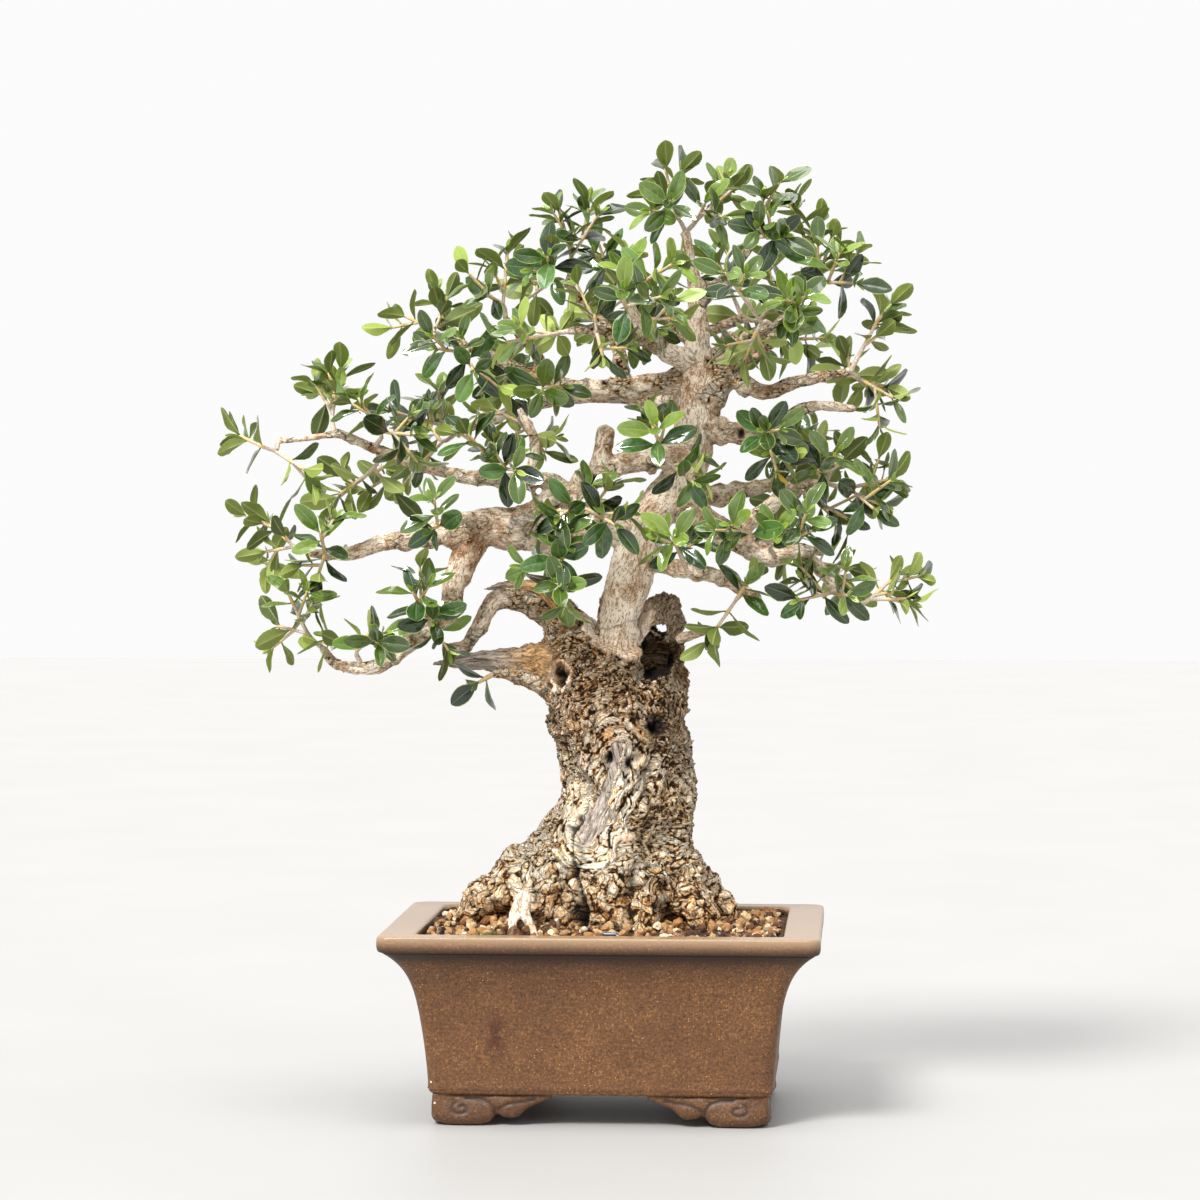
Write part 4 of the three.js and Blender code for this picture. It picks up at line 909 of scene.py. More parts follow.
BEND_SEEDS = (3.1, 17.7, 41.3)
RUGGED_SEED = 9.5
FRONT = -4  # the y that the trunk's front face lies in front of
SWIRL = (-20, -43, 123)  # the middle of a burl on the trunk's front
STUMP_LINE = [(22, 214), (23, 226)]  # the hollow's middle, as (x, z) places
CROWN_FOOT = (345, 362)  # the height where the limbs' bark turns rough
KNUCKLE_SEED = 100
STUB_SHARE = 0.5  # of the swellings, those with a pruned stub


def limb_relief(seed):
    def relief(angle, share):
        return 1 + 0.05 * np.sin(2 * angle + 31 * share + seed) + 0.05 * np.sin(3 * angle - 47 * share)

    return relief


def trunk_relief(angle, share):
    return 1 + 0.05 * np.sin(5 * angle + 9 * share) + 0.035 * np.sin(9 * angle - 14 * share)


def hollow_relief(angle, share):
    return 1 + 0.16 * np.sin(3 * angle + 4 * share) + 0.12 * np.sin(5 * angle - 9 * share + 1)


def bends(points, size):
    """A soft shift of each point, which bends the edges of the plates."""
    return np.stack([fractal(points, size, 3, seed) for seed in BEND_SEEDS], 1)


def slabs(edge, lift, tilt, groove, shares):
    """The height of plates with open cracks of that width between them."""
    level, lift_share, tilt_share = shares
    return smoothstep(0.0, groove, edge) * (level + lift_share * lift + tilt_share * tilt)


def limb_bark(points, rough, grain, width):
    """Relief in mm of a limb's skin, rough or smooth, and how light each spot of it is, darker in the
    cracks partly as painted shade.
    """
    plate = plates((points + bends(points, 6.0) * 3.0) / np.array([4.4, 4.4, 3.2]))
    rugged = fractal(points, 3.0, 3, RUGGED_SEED)
    wrinkles = fractal(grain * np.array([0.5, 0.18, 0.18]), 1.0, 3, 6.2)
    coarse = 0.9 * (slabs(*plate, 0.14, (0.5, 0.6, 1.0)) - 0.6) + 0.5 * rugged
    coarse *= 0.35 + 0.65 * smoothstep(3.0, 12.0, width)
    smooth = 0.3 * wrinkles * np.minimum(1.0, width / 6)
    return coarse * rough + smooth * (1 - rough), slabs(*plate, 0.12, (0.6, 0.3, 0.3))


# The bark's zones. At the foot it is broken into plates, round the dead strip it lies in long lips,
# and under the crown in short slanting flakes. Sizes are in mm.
ZONE_PLATE_SIZE = np.array([[7.0, 7.0, 5.0], [3.0, 3.4, 3.4], [3.0, 3.0, 2.9]])
ZONE_FINE_SHARE = [0.75, 0.3, 0.85]
FINE_SIZE, FINE_SHIFT = 0.42, 7.3  # small scales on the plates, as shares of the plates' size
ZONE_RELIEF = [0.42, 1.1, 1.3]
ZONE_LIFT = [0.16, 0.3, 0.3]
LIP_REACH = 17  # mm from the strip
FRONT_FROM = 4  # the y that the lips stay in front of
FLAKES_FROM = 176  # the height where the slanting flakes begin


def trunk_bark(points):
    """Bark of the old trunk: its relief in mm, how light each spot of it is, darker in the cracks and on
    tucked-under plates partly as painted shade, and how its flakes run.
    """
    height = points[:, 2]
    bent = points + bends(points, 11.0) * (3.0 + 3.0 * smoothstep(112, 130, height))[:, None]
    away = line_distance(points, STRIP) + 3.0 * fractal(points, 9.0, 2, 61.0)
    x, y, z = bent.T
    slant = 0.6 + 0.5 * fractal(points, 30.0, 1, 8.0)  # of the flakes under the crown, in radians
    run, rise = x * np.cos(slant) + z * np.sin(slant), z * np.cos(slant) - x * np.sin(slant)
    zone = np.where(height + 14 * fractal(points, 16.0, 2, 4.0) > FLAKES_FROM, 2, 0)
    zone[(away < LIP_REACH) & (points[:, 1] < FRONT_FROM)] = 1
    tall = 6.4 - 2.6 * smoothstep(120, 150, height)  # the plates are less tall above the foot
    flow = np.choose(zone[:, None], [
        np.stack([x / 8.5, y / 8.5, z / tall], 1), np.stack([away / 3.2, x / 12, z / 12], 1),
        np.stack([run / 6.0, y / 5.0, rise / 2.9], 1),
    ])
    edge, lift, tilt = plates(flow)
    flake, curl, lean = plates(flow / FINE_SIZE + FINE_SHIFT)
    fine_share = np.choose(zone, ZONE_FINE_SHARE)
    relief = np.choose(zone, ZONE_RELIEF) * (slabs(edge, lift, tilt, 0.13, (0.5, 0.7, 1.2)) - 0.7)
    relief += fine_share * (slabs(flake, curl, lean, 0.16, (0.5, 0.5, 0.9)) - 0.6)
    relief += 0.3 * fractal(points, 3.0, 3, RUGGED_SEED) + 3.4 * fractal(points, 17.0, 3, 5.5) - 1.8
    # Raised, lifted plates are lighter and cracks darker: partly the bark's colour, partly painted shade.
    light = smoothstep(0.0, 0.12, edge) * (1 - 0.5 * fine_share * (1 - smoothstep(0.0, 0.1, flake)))
    light *= (
        0.62 + np.choose(zone, ZONE_LIFT) * lift + 0.35 * fine_share * (curl - 0.5)
        + 0.3 * np.clip(tilt, -0.5, 0.5)
    )
    return relief, light, flow * ZONE_PLATE_SIZE[zone]


def build_trunk(sizes, material):
    """The old trunk with its roots, shoulder, hollow stump and dead spars."""
    form, hollow = Form(), Form()
    form.add(*tube(spline(TRUNK, 4.0), 48, trunk_relief))
    for index, (limb, _, _) in enumerate(OLD_WOOD[1:]):
        form.add(*tube(spline(limb, 3.0), 20, limb_relief(index)))
    hollow.add(*tube(spline(STUMP_HOLLOW, 2.0), 24, hollow_relief))
    hollow.add(*tube(spline(STUMP_WINDOW, 4.0), 14))
    mesh = skinned(form, "trunk", sizes.trunk_skin / MM, 3, hollow)
    points, normals = read(mesh)
    grain, _, rough, dead = grown_along(OLD_WOOD, points)
    x, y, z = points.T
    front = y < FRONT
    ragged = fractal(points, 6.0, 3, 31.0)
    # The bare strip with its raised lips, the split and the folds beside it, and a smooth patch.
    apart = line_distance(points, STRIP) / (np.interp(z, STRIP_LEVELS, STRIP_WIDTHS) + 1.2 * ragged)
    strip = smoothstep(1.25, 0.75, apart) * front
    lips = bell(apart - 1.5, 0.35) * front * smoothstep(128, 136, z) * smoothstep(188, 180, z)
    split_width = np.interp(z, CREVICE_LEVELS, CREVICE_WIDTHS)
    split = bell(line_distance(points, CREVICE) + 1.2 * ragged, split_width) * front
    folds = sum(bell(line_distance(points, fold), 2.2) for fold in FOLDS) * front
    patch = bell(x - 11, 8) * bell(z - 136, 3.6) * front
    # Young smooth bark rises round the leader's foot, and the stump is painted with shade inside.
    fresh = smoothstep(19, 14, np.hypot(x - 5, y + 4) + 3 * ragged)
    fresh = fresh * smoothstep(216, 222, z + 6 * ragged)
    inner = smoothstep(2.5, 0.0, line_distance(points, STUMP_LINE) - 7.5)
    inner *= (y > -10) * (normals[:, 1] > -0.6) * (y < 14)
    scars, dark, callus = scars_relief(points, TRUNK_SCARS)
    rough = rough * ((1 - 0.95 * strip) * (1 - 0.7 * patch) * (1 - 0.9 * fresh) * (1 - 0.8 * callus))
    dead = np.maximum(dead, strip)
    bark, light, flow = trunk_bark(points)
    fibre = fractal(grain * np.array([0.06, 0.55, 0.55]), 1.0, 3, 2.2)
    swirl_far = np.linalg.norm(points - SWIRL, axis=1)
    rings = np.sin(swirl_far * 1.9) * bell(swirl_far, 11)
    height = bark * rough + 1.1 * fibre * dead + 0.6 * rings
    height = height * sizes.bark_relief + scars + 1.5 * lips - 1.6 * strip - 1.6 * folds
    height -= split * np.interp(z, CREVICE_LEVELS, CREVICE_DEPTHS)
    move_points(mesh, points + normals * height[:, None])
    # Painted shade in the holes, the split, the hollow stump and the folds.
    shades = [dark, 0.92 * smoothstep(0.35, 0.85, split), 0.97 * inner, 0.45 * np.minimum(folds, 1)]
    # Dead wood is golden near the trunk and silver out on the spar. The stump's head is paler.
    gold = smoothstep(-62, -30, x) * (z > 190)
    head = smoothstep(226, 232, z) * smoothstep(10, 14, x) * (1 - np.minimum(1, inner))
    tone = (smoothstep(158, 190, z) * (0.8 - 0.5 * head) + 0.1) * (1 - dead) + gold * dead
    # Raised rings and lips are lighter, partly as painted light, and the stump's head is paler.
    store(
        mesh, relief=light + 0.15 * rings + 0.2 * lips + 0.25 * head, rough=rough, dead=dead,
        dark=np.maximum.reduce(shades), tone=tone, grain=grain, flow=flow,
    )
    piece_of(mesh, "trunk", [material], "bark", "tree_wood")


def add_knuckles(form, limb, seed):
    """Swellings and pruned stubs along a limb, as an old clipped tree has."""
    random = np.random.default_rng(KNUCKLE_SEED + seed)
    ball, faces = ball_points()
    for *middle, radius in spline(limb, 11.0)[1:-1]:
        middle = np.array(middle)
        side = unit(random.normal(size=3))
        swell = radius * random.choice([0.9, 1.0, 1.15, 1.3])
        place = middle + side * radius * random.uniform(0.1, 0.4)
        form.add(ball * random.uniform(0.85, 1.1, 3) * swell + place, [faces])
        if random.random() < STUB_SHARE:
            reach = side * (radius + random.uniform(1.5, 4.0))
            thick = max(0.9, 0.4 * radius * random.uniform(0.8, 1.3))
            steps = ((0, 1.3), (0.6, 1), (1, 0.9))
            stub = [[*(middle + reach * share), thick * wide] for share, wide in steps]
            form.add(*tube(stub, 10))


def build_limbs(sizes, material):
    """The live limbs, from the smooth pale leader to the thin branches of the crown."""
    form = Form()
    for index, (name, (_, limb)) in enumerate(LIMBS.items()):
        form.add(*tube(spline(limb, 3.0), 16, limb_relief(index)))
        if name != "leader":
            add_knuckles(form, limb, index)
    form.add(*tube(spline(COLLAR, 3.0), 24, limb_relief(5)))
    mesh = skinned(form, "limbs", sizes.limb_skin / MM, 3)
    points, normals = read(mesh)
    limbs = [(limb, rough, 0.0) for rough, limb in LIMBS.values()] + [(COLLAR, 0.05, 0.0)]
    grain, width, rough, dead = grown_along(limbs, points)
    patches = fractal(points, 9.0, 2, 21.0)
    x, y, z = points.T
    crown = smoothstep(*CROWN_FOOT, z)
    # Old rough bark on the shaded side branches left of the leader, in the crown and up the leader's foot.
    shaded = smoothstep(0, -6, x) * smoothstep(262, 250, z)
    shaded = shaded * smoothstep(205, 215, z) * smoothstep(-58, -50, x)
    rough = np.maximum(rough, 0.85 * shaded) + 0.45 * crown * (rough > 0.15)
    rough = np.clip(rough + 0.9 * patches * (rough > 0.15), 0.0, 1.0)
    foot = smoothstep(226, 217, z + 5 * patches) * (np.abs(x - 4) < 30)
    rough = np.maximum(rough, 0.95 * foot)
    # Plates are lighter and cracks darker, partly painted shade.
    relief, light = limb_bark(points, rough, grain, width)
    # The limbs' knot holes get painted shade inside.
    scars, dark, callus = scars_relief(points, LIMB_SCARS)
    knots = fractal(points, 11.0, 2, 13.0) * 0.16 * np.minimum(width, 9.0)
    move_points(mesh, points + normals * (relief * sizes.bark_relief + scars + knots)[:, None])
    drift = np.clip(fractal(points, 60.0, 1, 3.0), -1, 1)
    # The tone darkens the bark with painted shade on the shaded branches under the left shoulder.
    store(
        mesh, relief=0.3 + 0.7 * light, rough=rough * (1 - 0.8 * callus), dead=dead, dark=dark,
        tone=0.35 + 0.3 * drift + 0.3 * foot + 0.5 * shaded + 0.4 * crown, grain=grain,
        flow=points * np.array([0.8, 0.8, 1.2]),
    )
    piece_of(mesh, "limbs", [material], "bark", "tree_wood")


# ---- leafy sprays ----

# The leaf's half width along it, as shares of its length and of its greatest half width.
LEAF_OUTLINE = np.array([
    (0.0, 0.07), (0.07, 0.08), (0.15, 0.22), (0.27, 0.56), (0.41, 0.86), (0.56, 1.0), (0.7, 0.95),
    (0.83, 0.79), (0.93, 0.53), (1.0, 0.1),
])
LEAF_ACROSS = np.array([-1.0, -0.55, -0.1, 0.0, 0.1, 0.55, 1.0])
SLIM = 0.86  # the blades are this much narrower than the solid's thick ones
LEAF_BLADE = 0.22  # half the blade's thickness in mm
RIB_HEIGHT = 0.22  # the midrib stands out this far below the blade
GROOVE_DEPTH = 0.16  # and lies this deep in the upper side
RIB_WIDTH = 0.07  # of the leaf's half width
WAVE_HEIGHT, WAVE_TURNS, WAVE_SHIFT = 0.07, 9, 40  # the ripple of a leaf's margin
SPRAY_MATERIALS = {"upper": 0, "lower": 1, "twig": 2}
SHAPE_SEED = 7919
BUD_SHAPE = (0.3, 0.05, 0.0, 0.2, 0.0)
BUD_ASPECT = 0.36
BUD_FOOT = 0.6  # mm below the shoot's tip
YOUNG_SHARE, YOUNG_MORE = 0.27, 0.3  # of the shoots, and more of them high up and far out on the left
AGEING = 0.35  # how much older each pair is than the one above it
YELLOW_AGE = 1.5
LEAFY_SHARE = 0.8  # of a shoot's length
EXTRA_SEED = 500
SHARP_TWIG = math.radians(70)
TWIG_SIDES = 6
JOINT_WIDTH, JOINT_SWELL = 1.4, 0.3
LONG_TWIG = 17  # mm from which a side twig has a third pair
DEEP_IN_WOOD = 3.0  # mm that a spray's twig goes on into the limb


def leaf_grid():
    """Faces of a leaf: the upper grid, and a lower one that shares the upper one's rim."""
    rows, columns = len(LEAF_OUTLINE), len(LEAF_ACROSS)
    upper = np.arange(rows * columns).reshape(rows, columns)
    lower = upper.copy()
    inner = lower[1:-1, 1:-1]
    lower[1:-1, 1:-1] = np.arange(inner.size).reshape(inner.shape) + rows * columns
    top = np.stack([upper[:-1, :-1], upper[1:, :-1], upper[1:, 1:], upper[:-1, 1:]], -1).reshape(-1, 4)
    under = np.stack([lower[:-1, :-1], lower[:-1, 1:], lower[1:, 1:], lower[1:, :-1]], -1).reshape(-1, 4)
    return (top, under), rows * columns + inner.size


def add_leaves(form, leaves):
    """Adds the blades of a spray: each has its own fold, curl, twist and wave."""
    foot, along, side, up, length, width, age, tone, shape = (
        np.array([leaf[key] for leaf in leaves])[:, None, None]
        for key in ("foot", "along", "side", "up", "length", "width", "age", "tone", "shape")
    )
    fold, curl, twist, wave, bend = np.moveaxis(shape, -1, 0)
    u, half = LEAF_OUTLINE.T[:, None, :, None]
    v = LEAF_ACROSS[None, None, :]
    x = np.broadcast_to(u * length, (len(leaves), len(LEAF_OUTLINE), len(LEAF_ACROSS)))
    y = half * v * width / 2
    z = -curl * x * x / length + fold * np.abs(y) * np.sin(math.pi * np.clip(u * 1.15, 0, 1))
    z = z + wave * v * np.sin(WAVE_TURNS * u + WAVE_SHIFT * bend) * half * width * WAVE_HEIGHT
    groove = bell(v, RIB_WIDTH) * smoothstep(0.04, 0.2, u) * smoothstep(1.0, 0.75, u)
    thick = LEAF_BLADE * (1 - 0.75 * v * v) * (1 + 1.2 * smoothstep(0.2, 0.0, u))
    y = y + bend * x * x / length

    def turned(height):
        angle = twist * u
        across = y * np.cos(angle) - height * np.sin(angle)
        rise = y * np.sin(angle) + height * np.cos(angle)
        return foot + along * x[..., None] + side * across[..., None] + up * rise[..., None]

    def both(upper, lower):
        """The upper side's points of each leaf, then the lower side's inner ones."""
        inner = lower[:, 1:-1, 1:-1]
        blocks = [block.reshape(len(leaves), -1, *block.shape[3:]) for block in (upper, inner)]
        return np.concatenate(blocks, 1).reshape(-1, *upper.shape[3:])

    faces, per_leaf = leaf_grid()
    starts = (np.arange(len(leaves)) * per_leaf)[:, None, None]
    points = both(turned(z + thick - GROOVE_DEPTH * groove), turned(z - thick - RIB_HEIGHT * groove))
    values = {}
    for key, value in (("along", u), ("across", v), ("tone", tone), ("age", age)):
        full = np.broadcast_to(value, x.shape)
        values[key] = both(full, full)
    kinds = (SPRAY_MATERIALS["upper"], SPRAY_MATERIALS["lower"])
    form.add(points, [(block[None] + starts).reshape(-1, 4) for block in faces], kinds, **values)


def new_leaf(foot, axis, outward, pitch, length, width, age, tone, shape):
    """A leaf that leans from the shoot's axis to outward by the pitch."""
    along = axis * math.cos(pitch) + outward * math.sin(pitch)
    up = axis * math.sin(pitch) - outward * math.cos(pitch)
    return {
        "foot": foot, "along": along, "side": np.cross(up, along), "up": up, "length": length,
        "width": width, "age": age, "tone": tone, "shape": shape,
    }


def leaf_pair(draw, shape_draws, foot, axis, turn_base, pair, grown, age):
    """Two opposite leaves at one joint of a shoot."""
    first, second = around(axis)
    leaves = []
    for half in (0, 1):
        turn = turn_base + half * math.pi + TURN_SPREAD * (draw() - 0.5)
        pitch = PITCH + PITCH_STEP * pair + PITCH_SPREAD * (draw() - 0.5)
        outward = first * math.cos(turn) + second * math.sin(turn)
        length = LEAF_LENGTH * grown * (SHORTEST + LENGTH_SPREAD * draw() + LENGTH_STEP * pair)
        width = SLIM * LEAF_ASPECT * length * (NARROWEST + WIDTH_SPREAD * draw())
        shape = (  # fold, curl, twist, wave and sideways bend
            0.05 + 0.4 * shape_draws(), LEAF_CURL * (0.2 + 1.6 * shape_draws()),
            1.1 * (shape_draws() - 0.5), shape_draws(), 0.16 * (shape_draws() - 0.5),
        )
        leaves.append(new_leaf(foot, axis, outward, pitch, length, width, age, 1.1 * shape_draws(), shape))
    return leaves


def tuft(tip, axis, pairs, kept_pairs, seed, spacing=NODE_SPACING, grown=1.0, oldest=1.0):
    """Leaf pairs down a shoot from its tip: the first kept_pairs stand as they do in the solid."""
    draw, shape_draws = draws(seed), draws(seed + SHAPE_SEED)
    twist = draw() * math.pi
    leaves, joints = [], []
    outer = float(smoothstep(330, 430, tip[2]) + smoothstep(-100, -150, tip[0]))
    young_share = YOUNG_SHARE + YOUNG_MORE * outer
    youngest = 0.05 + 0.4 * shape_draws() if shape_draws() < young_share else 0.7 + 0.3 * shape_draws()
    for pair in range(pairs):
        back = min(pair, kept_pairs - 1) * NODE_SPACING + max(0, pair - kept_pairs + 1) * spacing
        foot = tip - axis * (back + BUD_LENGTH)
        turn, age = twist + pair * math.pi / 2, min(oldest, youngest + AGEING * pair)
        leaves += leaf_pair(draw, shape_draws, foot, axis, turn, min(pair, 2), grown, age)
        joints.append(foot)
    return leaves, joints


def bud_leaves(tip, axis, seed):
    """The two tiny upright leaves that close a shoot."""
    draw = draws(seed)
    first, second = around(axis)
    turn = draw() * math.pi
    leaves = []
    for half in (0, math.pi):
        outward = first * math.cos(turn + half) + second * math.sin(turn + half)
        pitch, length = 0.3 + 0.25 * draw(), 5.0 + 3.0 * draw()
        width, tone = BUD_ASPECT * length, 0.4 + 0.5 * draw()
        foot = tip - axis * BUD_FOOT
        leaves.append(new_leaf(foot, axis, outward, pitch, length, width, 0.0, tone, BUD_SHAPE))
    return leaves


def nearest_on_limbs(target):
    """The nearest place on any live limb's middle line, as in the part's source."""
    best, middle = math.inf, None
    for _, points in LIMBS.values():
        places = np.array(points, float)[:, :3]
        buried = 1 if len(points) > 2 else 0
        for i in range(buried, len(points) - 1):
            end = places[i + 1]
            start = places[i] if buried else (places[i] + end) / 2
            step = end - start
            t = min(1.0, max(0.0, float(np.dot(target - start, step) / np.dot(step, step))))
            place = start + t * step
            if np.linalg.norm(place - target) < best:
                best, middle = float(np.linalg.norm(place - target)), place
    return middle


def bark_tree():
    """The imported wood, to find where a ray from inside a limb meets its bark."""
    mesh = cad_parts["tree_wood"].data
    corners = [vertex.co[:] for vertex in mesh.vertices]
    return BVHTree.FromPolygons(corners, [face.vertices[:] for face in mesh.polygons])


def in_frame(place):
    return Vector(((np.asarray(place) + POT_MIDDLE) * MM).tolist())


def spray_base(tips, bark):
    """Where a spray leaves the bark, and which way."""
    centre = (tips.min(0) + tips.max(0)) / 2
    middle = nearest_on_limbs(centre)
    direction = unit(centre - middle)
    # A limb's end lies in its bark, so the ray starts a little inside it.
    start = in_frame(middle - direction * 0.05)
    hit = bark.ray_cast(start, Vector(direction.tolist()))[0]
    if hit is None:
        raise RuntimeError(f"no bark between the limb and the spray at {tips[0].tolist()}")
    return np.array(hit) / MM - POT_MIDDLE + direction * GAP, direction


def add_shoot(form, places, radii, age, joints):
    """A shoot's bark, a little swollen and orange at the leaf joints."""
    path = spline([[*place, radius] for place, radius in zip(places, radii)], 2.5)
    joint = np.zeros(len(path))
    for place in joints:
        joint = np.maximum(joint, bell(np.linalg.norm(path[:, :3] - place, axis=1), JOINT_WIDTH))
    path[:, 3] *= 1 + JOINT_SWELL * joint
    points, faces = tube(path, TWIG_SIDES)
    spread = np.concatenate([np.repeat(joint, TWIG_SIDES), joint[:1], joint[-1:]])
    form.add(points, faces, SPRAY_MATERIALS["twig"], age=age, joint=spread)


def side_twig(fork, tip, axis, share, extra, seed):
    """A side twig's leaves and its shoot, which leans out from the main one and a little upward."""
    foot = fork + (tip - fork) * (share + 0.3 * extra())
    first, second = around(axis)
    turn, lean = extra() * 2 * math.pi, 0.6 + 0.5 * extra()
    outward = first * math.cos(turn) + second * math.sin(turn)
    heading = axis * math.cos(lean) + outward * math.sin(lean) + np.array([0, 0, 0.35])
    heading = unit(heading * (1.0, 0.7, 1.0))
    long = 9 + 12 * extra()
    end = foot + heading * long
    added, joints = tuft(end, heading, 2 if long < LONG_TWIG else 3, 1, seed[0], 5.0, 0.9, 0.8)
    shoot = ([foot, foot + heading * long * 0.5, end], [0.85, 0.7, 0.5], 0.75, joints)
    return added + bud_leaves(end, heading, seed[1]), shoot


def spray_leaves(number, tips, bark):
    """All the leaves and shoots of one spray."""
    tips = np.array(tips, float)
    base, direction = spray_base(tips, bark)
    fork = base + direction * FORK_SHARE * min(np.linalg.norm(tip - base) for tip in tips)
    leaves, shoots = [], []
    extra = draws(EXTRA_SEED + number)
    for order, tip in enumerate(tips):
        main = order == 0
        kept = MAIN_PAIRS if main else SIDE_PAIRS
        axis = unit(tip - fork)
        reach = np.linalg.norm(tip - fork)
        spacing = NODE_SPACING + 2.0 + 2.0 * extra()
        fits = int((reach * LEAFY_SHARE - BUD_LENGTH - (kept - 1) * NODE_SPACING) / spacing)
        pairs = kept + max(0, min(3 if main else 2, fits))
        seed = 1000 * number + 17 * order + 5
        added, joints = tuft(tip, axis, pairs, kept, seed, spacing)
        leaves += added + bud_leaves(tip, axis, seed + 3)
        start = [base - direction * DEEP_IN_WOOD, base, fork] if main else [fork]
        thicker = [0.3, 0.1, -0.15] if main else [-0.3]
        radii = [TWIG_RADIUS + more for more in thicker] + [SHOOT_RADIUS - 0.1]
        shoots.append(([*start, tip], radii, 1.0, joints))
        for twig in range(0 if number == BARE_SPRAY else 2 if reach > 20 else 1):
            seeds = (seed + 101 * (twig + 1), seed + 211 * (twig + 1))
            added, shoot = side_twig(fork, tip, axis, (0.4, 0.1)[twig], extra, seeds)
            leaves += added
            shoots.append(shoot)
    return leaves, shoots


def build_spray(number, tips, bark, materials):
    """One spray: its shoots with those of its leaves that are clear of the wood."""
    leaves, shoots = spray_leaves(number, tips, bark)
    middles = [leaf["foot"] + leaf["along"] * leaf["length"] / 2 for leaf in leaves]
    off = [np.linalg.norm(middle - YELLOW_LEAF) for middle in middles]
    if min(off) < YELLOW_REACH:
        leaves[int(np.argmin(off))]["age"] = YELLOW_AGE
    clear = []
    for leaf in leaves:
        middle = in_frame(leaf["foot"] + leaf["along"] * leaf["length"] * 0.6)
        near, normal, _, _ = bark.find_nearest(middle)
        if near is None or (middle - near).dot(normal) > 0:
            clear.append(leaf)
    form = Form()
    add_leaves(form, clear)
    for shoot in shoots:
        add_shoot(form, *shoot)
    name = f"foliage_{number:02d}"
    mesh = form.mesh(name)
    mesh.set_sharp_from_angle(angle=SHARP_TWIG)
    piece_of(mesh, name, materials, "leaf", f"spray_{number:02d}")


# ---- the pot ----

BODY_TOP = POT_HEIGHT - RIM_HEIGHT
FLOOR = FOOT_HEIGHT + FLOOR_THICK
DRILL_FROM, DRILL_TO = 5.0, 30.0
UNDER_RIM = 4.2  # how far down the wall the rim's painted shadow reaches
FOOT_SIDES = 20
FOOT_SQUARENESS = 0.55  # the power that makes a foot's round section a soft rectangle
FOOT_VOXEL = 0.86
CURL_WIDTH = 0.75
CURL_DEPTH = 0.75
SHARP_POT, SHARP_GRAIN = math.radians(50), math.radians(38)


def body_half(z):
    """Half the body's width at that height."""
    share = np.maximum(0, (z - FOOT_HEIGHT) / (BODY_TOP - FOOT_HEIGHT))
    flare = LEAN_SHARE * share**LEAN_CURVE + (1 - LEAN_SHARE) * share**FLARE_CURVE
    return POT_WIDTH / 2 - BODY_INSET + (BODY_INSET - RIM_OVERHANG) * flare


def inner_half(z):
    return np.minimum(body_half(z) - WALL, POT_WIDTH / 2 - RIM_LEDGE)


def half_depth(half):
    """Half the depth that goes with half a width anywhere on the pot."""
    return POT_DEPTH / 2 - (POT_WIDTH / 2 - half) * DEPTH_SHARE


def pot_profile():
    """(half width, height) from the middle of the underside up, over the rim and down inside."""
    edge = POT_WIDTH / 2
    inner = edge - RIM_LEDGE
    low = FOOT_HEIGHT
    profile = [(body_half(low) - BODY_BEVEL * (1 - math.sin(a)), low + BODY_BEVEL * (1 - math.cos(a)))
               for a in np.linspace(0, math.pi / 2, 6)]
    profile += [(float(body_half(z)) + 0.5 * math.exp(-((z - low - 3.0) / 0.9) ** 2), z)
                for z in np.linspace(low + BODY_BEVEL + 0.4, BODY_TOP - 0.9, 44)]
    profile += [(edge + out, BODY_TOP + up) for out, up in (
        (-2.6, -0.5), (-1.5, -0.45), (-0.7, -0.1), (-0.15, 0.8), (0.15, 2.4), (0.2, 4.2),
        (0, RIM_HEIGHT - 1.7),
    )]
    profile += [(edge - 1.4 * (1 - math.cos(a)), POT_HEIGHT - 1.4 * (1 - math.sin(a)))
                for a in np.linspace(0.3, math.pi / 2, 5)]
    profile += [(edge - 5, POT_HEIGHT - 0.1)]
    profile += [(inner + out, POT_HEIGHT - down) for out, down in (
        (5, 0.15), (1.6, 0.05), (0.7, 0.25), (0.15, 0.9), (0, 2.0),
    )]
    profile += [(float(inner_half(z)), z) for z in np.linspace(POT_HEIGHT - 5, FLOOR + 3, 12)]
    base = float(inner_half(FLOOR))
    return profile + [(base - 0.8, FLOOR + 0.8), (base - 3, FLOOR)]


def ring_of(half, corner, z):
    """A rounded rectangle of the pot's proportion at that height, as points going round."""
    corners = []
    for sx, sy, quarter in ((1, 1, 0), (-1, 1, 1), (-1, -1, 2), (1, -1, 3)):
        angles = quarter * math.pi / 2 + np.linspace(0, math.pi / 2, 9)
        middle = np.array([sx * (half - corner), sy * (half_depth(half) - corner)])
        corners.append(middle + corner * np.stack([np.cos(angles), np.sin(angles)], 1))
    ring = []
    for arc, following, parts in zip(corners, corners[1:] + corners[:1], (22, 16, 22, 16)):
        share = (np.arange(1, parts) / parts)[:, None]
        ring += [arc, arc[-1] + (following[0] - arc[-1]) * share]
    ring = np.vstack(ring)
    return np.column_stack([ring, np.full(len(ring), z)])


